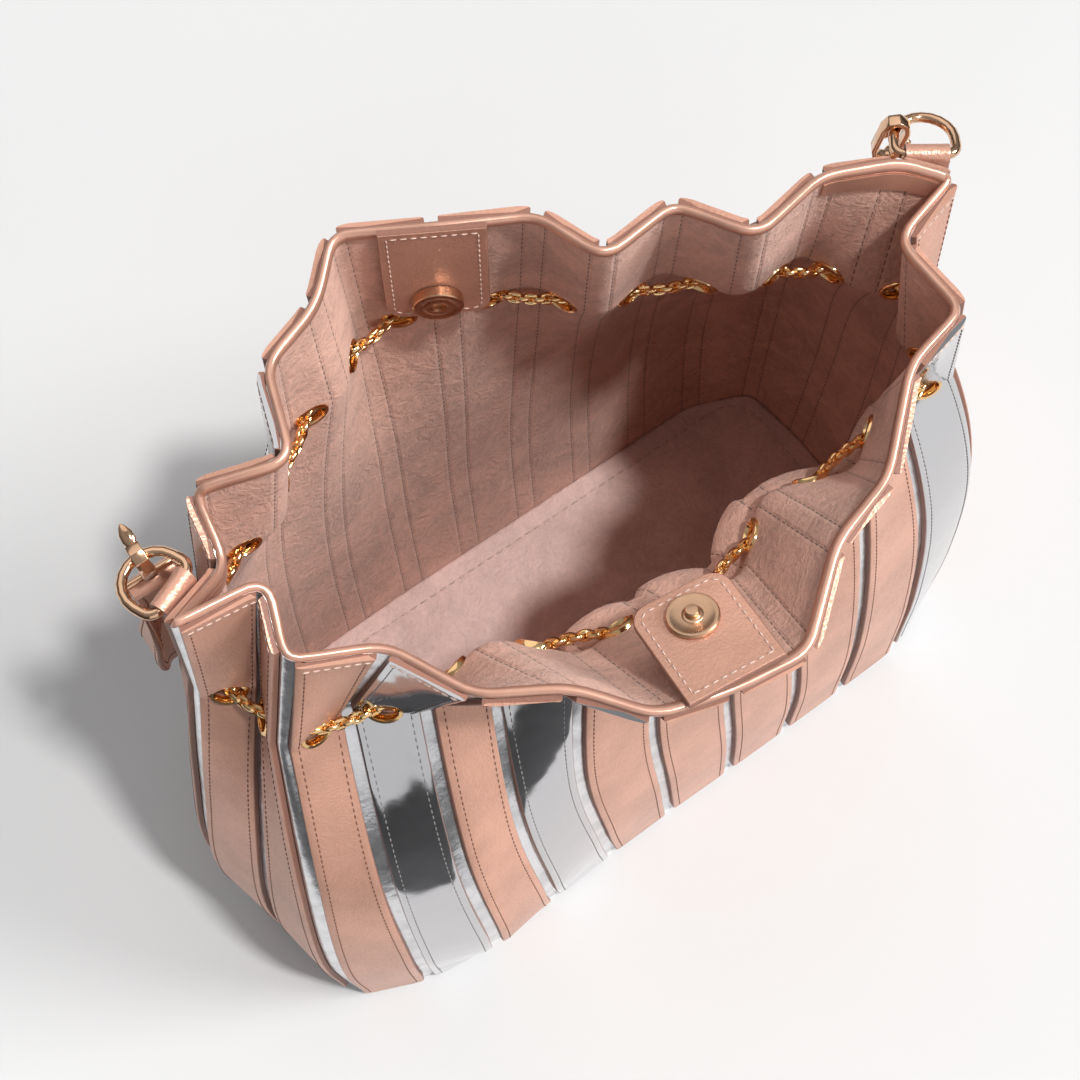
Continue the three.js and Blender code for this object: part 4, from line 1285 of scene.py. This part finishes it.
def ring_piece(side, f):
    """D-ring with rounded corners, its bar in the loop."""
    flat, straight = 2 * (RING_HALF - RING_CORNER), RING_STRAIGHT - RING_CORNER
    steps = [("go", flat), ("turn", 90, RING_CORNER), ("go", straight), ("turn", 180, RING_HALF)]
    steps += [("go", straight), ("turn", 90, RING_CORNER)]
    ring = wire_shape(f"ring_{side}_metal", RING_STOCK, sizes().wire_sides, steps)
    place_piece(ring, basis(f["along"], f["hang"], f["face"], f["bar"] - f["along"] * flat / 2))
    finish_piece(ring, "pale gold", [f"ring_{side}"], 60)


def hook_piece(side, f):
    """Swivel hook: a claw of flat band with its nose and lever, a turned barrel and the strap's bar."""
    hook, pull, wire = f["hook"], f["pull"], f["wire"]
    sideways = np.cross(wire, pull)
    span = np.array(CLAW_SPANS.get(side, sideways))
    span = unit(span - pull * np.dot(span, pull))
    claw = wire_shape("claw", HOOK_WIRE, 4, [("turn", 180, CLAW_BEND), ("go", HOOK_STRAIGHT)] * 2, 45, 45)
    start = hook + span * CLAW_BEND + pull * HOOK_STRAIGHT
    place_piece(claw, basis(pull, -span, np.cross(pull, -span) * CLAW_BREADTH, start))
    apply_modifier(
        claw, "BEVEL", width=CLAW_EDGE * MM, segments=2, limit_method="ANGLE", angle_limit=math.radians(30))
    nose = turned_shape("nose", NOSE, 20)
    way, flat = (unit(vector) for vector in HOOK_NOSES[side])
    flat = unit(flat - way * np.dot(flat, way))
    tip = hook - pull * (HOOK_BEND - 2.0) + way * 1.5
    place_piece(nose, basis(np.cross(flat, way), flat * 0.5, way, tip))
    lever = turned_shape("lever", LEVER, 16)
    place_piece(lever, basis(pull, np.cross(span, pull), span, hook + span * (CLAW_BEND + 0.7) + pull * 6.0))
    barrel = turned_shape("barrel", BARREL, 28)
    place_piece(barrel, basis(sideways, np.cross(pull, sideways), pull, f["barrel"]))
    steps = [("go", 2 * (EYE_HALF - EYE_BEND)), ("turn", 90, EYE_BEND)]
    steps += [("go", EYE_DEPTH - 2 * EYE_BEND), ("turn", 90, EYE_BEND)]
    eye = wire_shape("eye", EYE_WIRE, sizes().wire_sides, steps * 2)
    place_piece(eye, basis(wire, pull, sideways, f["eye"] - wire * (EYE_HALF - EYE_BEND)))
    joined = join_pieces(f"hook_{side}_metal", [claw, nose, lever, barrel, eye])
    finish_piece(joined, "pale gold", [f"hook_{side}"], 50)


class HANDBAG_OT_ring_ends(bpy.types.Operator):
    """Make the leather loops, rings and swivel hooks at both ends"""
    bl_idname = "handbag.ring_ends"
    bl_label = "Rings and hooks"

    def execute(self, context):
        for side in ENDS:
            f = end_frame(side)
            loop_piece(side, f)
            ring_piece(side, f)
            hook_piece(side, f)
        return {"FINISHED"}


def strap_line(left, right, count=190):
    """Middle line of the strap, its ways ahead, across and out of its face, and its length."""
    falls = [[f["strap"] + f["pull"] * fall for fall in STRAP_FALLS] for f in (left, right)]
    places = [*falls[0], *[place for place, _ in STRAP_ROUTE], *reversed(falls[1])]
    ways = [way for _, way in STRAP_ROUTE]
    widths = np.array([left["wire"], left["wire"], *ways, right["wire"], right["wire"]])
    path, spots, span = smooth_path(places, count)
    ahead = unit(np.gradient(path, axis=0))
    index = np.clip(spots.astype(int), 0, len(widths) - 2)
    share = (spots - index)[:, None]
    across = widths[index] * (1 - share) + widths[index + 1] * share
    across = unit(across - ahead * np.sum(across * ahead, axis=1, keepdims=True))
    return path, ahead, across, np.cross(ahead, across), span


def strap_sleeve(f, half, count=28):
    """The strap's end, folded round the hook's bar."""
    side, face = half - 0.3, half - 0.7
    section = [(-side, SLEEVE_OUTER - 0.2, -1), (-face, SLEEVE_OUTER, 4), (face, SLEEVE_OUTER, 4)]
    section += [(side, SLEEVE_OUTER - 0.2, -1), (side, SLEEVE_BORE, -1), (-side, SLEEVE_BORE, -1)]
    x = np.cross(f["pull"], f["wire"])
    points, uvs = [], []
    for angle in np.linspace(0, 2 * np.pi, count, endpoint=False):
        way = x * math.cos(angle) + f["pull"] * math.sin(angle)
        for along, radius, mark in section:
            points.append(f["strap"] + f["wire"] * along + way * radius)
            uvs.append((mark, along))
    return mesh_piece("sleeve", points, loft_faces(count, len(section), closed_rows=True), uvs)


class HANDBAG_OT_strap(bpy.types.Operator):
    """Make the shoulder strap behind the bag, folded round the hooks' bars"""
    bl_idname = "handbag.strap"
    bl_label = "Shoulder strap"

    def execute(self, context):
        left, right = end_frame("left"), end_frame("right")
        path, ahead, across, face, span = strap_line(left, right)
        half, thick = mm(sizes().strap_width) / 2, STRAP_HALF
        section = [(-half, -0.5, -1), (-half + 0.4, -thick, 1), (-half + 3, -thick - 0.05, 4), (0, -thick, 9)]
        section += [(half - 3, -thick - 0.05, 4), (half - 0.4, -thick, 1), (half, -0.5, -1)]
        section += [(-a, -b, mark) for a, b, mark in section]
        rings = np.stack([path + across * a + face * b for a, b, _ in section], axis=1)
        size = (len(path), len(section))
        along = np.linspace(0, span, len(path))
        uvs = [(mark, spot) for spot in along for _, _, mark in section]
        ribbon = mesh_piece("ribbon", rings.reshape(-1, 3), loft_faces(*size) + end_faces(*size), uvs)
        sleeves = [strap_sleeve(f, half) for f in (left, right)]
        strap = join_pieces("shoulder_strap_leather", [ribbon, *sleeves])
        face_outward(strap)
        finish_piece(strap, "rose leather", ["shoulder_strap"], 40)

        even = np.arange(4.0, span - 4.0, mm(sizes().stitch_pitch))
        ways = along_line(ahead, even, along)
        matrices = []
        for edge in (-1, 1):
            for side in (-1, 1):
                seam = path + across * edge * (half - STRAP_STITCH_INSET) + face * side * (thick + 0.02)
                outs = along_line(face, even, along) * side
                matrices += stitches_on(along_line(seam, even, along), ways, outs)
        sew("strap_stitches", "dark thread", STRAP_STITCH, matrices)
        return {"FINISHED"}


class HANDBAG_OT_stitching(bpy.types.Operator):
    """Sew the strips: a line of stitches beside each edge and one below the rim"""
    bl_idname = "handbag.stitching"
    bl_label = "Strip stitching"

    def execute(self, context):
        s = sizes()
        inset, pitch = mm(s.stitch_inset), mm(s.stitch_pitch)
        top = strip_face() + 0.03
        rows = wall_rows(np.arange(9.0, RIM - 2.0, pitch))
        sewn = {"dark": [], "grey": []}
        for k, (name, *_) in enumerate(FOLDS):
            span = strip_span(rows, k)
            colour = "grey" if name in SILVER_STRIPS else "dark"
            for line in (np.full(len(rows), gap_half(k) + inset), span - gap_half(k + 1) - inset):
                band = np.stack([strip_at(rows, k, line + step) for step in (-0.5, 0, 0.5)], axis=1)
                seam, outs = band[:, 1], outward(band, False)[:, 1]
                sewn[colour] += stitches_on(seam + outs * top, np.gradient(seam, axis=0), outs)
        sew("strip_stitches_dark", "dark thread", STRIP_STITCH, sewn["dark"])
        sew("strip_stitches_grey", "grey thread", STRIP_STITCH, sewn["grey"])

        matrices = []
        rows = wall_rows([RIM - inset - 1.0, RIM - inset, RIM - inset + 1.0])
        for k in range(FOLD_COUNT):
            start, end = gap_half(k) + inset, strip_span(rows, k)[1] - gap_half(k + 1) - inset
            steps = np.linspace(start, end, int((end - start) / pitch) + 1)
            band = np.stack([strip_at(rows, k, step) for step in steps], axis=1)
            seam, outs = band[1], outward(band, False)[1]
            matrices += stitches_on(seam + outs * top, np.gradient(seam, axis=0), outs)
        sew("rim_stitches", "pale thread", RIM_STITCH, matrices)
        return {"FINISHED"}


def set_floor(context, azimuth):
    ahead = Vector((-math.sin(azimuth), math.cos(azimuth), 0))
    middle = ahead * (FLOOR_SIZE / 2 - FLOOR_FRONT)
    bpy.ops.mesh.primitive_plane_add(size=FLOOR_SIZE, location=middle, rotation=(0, 0, azimuth))
    floor = context.object
    floor.name = "floor"
    floor.data.materials.append(finish_named("pale floor"))


def set_sky(context):
    """Grey surroundings, dark at the level of the floor and bright above."""
    world = bpy.data.worlds.new("studio")
    world.use_nodes = True
    sky = Nodes(world.node_tree)
    way = sky.node("ShaderNodeTexCoord")[0]
    height = sky.node("ShaderNodeSeparateXYZ", None, {0: way})[2]
    glow = sky.node("ShaderNodeValToRGB", None, {0: height * 0.5 + 0.5})[0]
    stops = glow.socket.node.color_ramp.elements
    for position, grey in SKY:
        stop = stops.new(position) if position else stops[0]
        stop.color = (grey, grey, grey * 1.02, 1.0)
    background = sky.tree.nodes["Background"]
    sky.connect(glow, background.inputs["Color"])
    sky.connect(SKY_STRENGTH, background.inputs["Strength"])
    context.scene.view_settings.view_transform = "Standard"
    context.scene.world = world


def set_lights(context):
    for name, energy, spread, way in LIGHTS:
        bpy.ops.object.light_add(type="SUN", location=(0.6, -0.8, 1.5))
        sun = context.object
        sun.name = name
        sun.data.energy, sun.data.angle, sun.data.color = energy, math.radians(spread), LIGHT_COLOUR
        sun.rotation_euler = Vector(way).to_track_quat("Z", "Y").to_euler()
    bpy.ops.object.light_add(type="AREA", location=CARD_PLACE, rotation=(math.radians(90), 0, 0))
    card = context.object
    card.name = "front_card"
    card.data.shape, card.data.energy = "RECTANGLE", CARD_ENERGY
    card.data.size, card.data.size_y = CARD_SIZE


def set_camera(context, azimuth, elevation, roll):
    level = math.cos(elevation)
    back = Vector((math.sin(azimuth) * level, -math.cos(azimuth) * level, math.sin(elevation)))
    right = Vector((math.cos(azimuth), math.sin(azimuth), 0))
    up = back.cross(right)
    x, y = right * math.cos(roll) + up * math.sin(roll), up * math.cos(roll) - right * math.sin(roll)
    camera = bpy.data.objects.new("camera", bpy.data.cameras.new("camera"))
    context.collection.objects.link(camera)
    camera.data.lens, camera.data.sensor_width, camera.data.sensor_fit = CAMERA_LENS, 36.0, "HORIZONTAL"
    camera.data.clip_start, camera.data.clip_end = 0.01, 50.0
    place = Vector((np.array(CAMERA_PLACE) + BASE_CENTRE) * MM)
    camera.matrix_world = Matrix.Translation(place) @ Matrix((x, y, back)).transposed().to_4x4()
    context.scene.camera = camera


class HANDBAG_OT_stage(bpy.types.Operator):
    """Set the pale floor, the surroundings, the lights and the camera"""
    bl_idname = "handbag.stage"
    bl_label = "Stage"

    def execute(self, context):
        clear_selection()
        azimuth, elevation, roll = (math.radians(v) for v in (CAMERA_AZIMUTH, CAMERA_ELEVATION, CAMERA_ROLL))
        set_floor(context, azimuth)
        set_sky(context)
        set_lights(context)
        set_camera(context, azimuth, elevation, roll)
        return {"FINISHED"}


OPERATORS = (
    HANDBAG_OT_stage,
    HANDBAG_OT_wall,
    HANDBAG_OT_strips,
    HANDBAG_OT_binding,
    HANDBAG_OT_base,
    HANDBAG_OT_chain,
    HANDBAG_OT_eyelets,
    HANDBAG_OT_tabs,
    HANDBAG_OT_snaps,
    HANDBAG_OT_ring_ends,
    HANDBAG_OT_strap,
    HANDBAG_OT_stitching,
)


class HANDBAG_PT_panel(bpy.types.Panel):
    """Lists the bag's sizes, colours and pieces"""
    bl_idname = "HANDBAG_PT_panel"
    bl_label = "Handbag"
    bl_space_type = "VIEW_3D"
    bl_region_type = "UI"
    bl_category = "Handbag"

    def draw(self, context):
        for group in (context.scene.handbag_sizes, context.scene.handbag_colours):
            for name in group.__annotations__:
                self.layout.prop(group, name)
        for operator in OPERATORS:
            self.layout.operator(operator.bl_idname)


CLASSES = (HandbagSizes, HandbagColours, *OPERATORS, HANDBAG_PT_panel)


def register():
    for cls in CLASSES:
        bpy.utils.register_class(cls)
    bpy.types.Scene.handbag_sizes = PointerProperty(type=HandbagSizes)
    bpy.types.Scene.handbag_colours = PointerProperty(type=HandbagColours)


def unregister():
    del bpy.types.Scene.handbag_colours
    del bpy.types.Scene.handbag_sizes
    for cls in reversed(CLASSES):
        bpy.utils.unregister_class(cls)


def main():
    register()
    for operator in OPERATORS:
        group, name = operator.bl_idname.split(".")
        getattr(getattr(bpy.ops, group), name)()


if __name__ == "__main__":
    main()
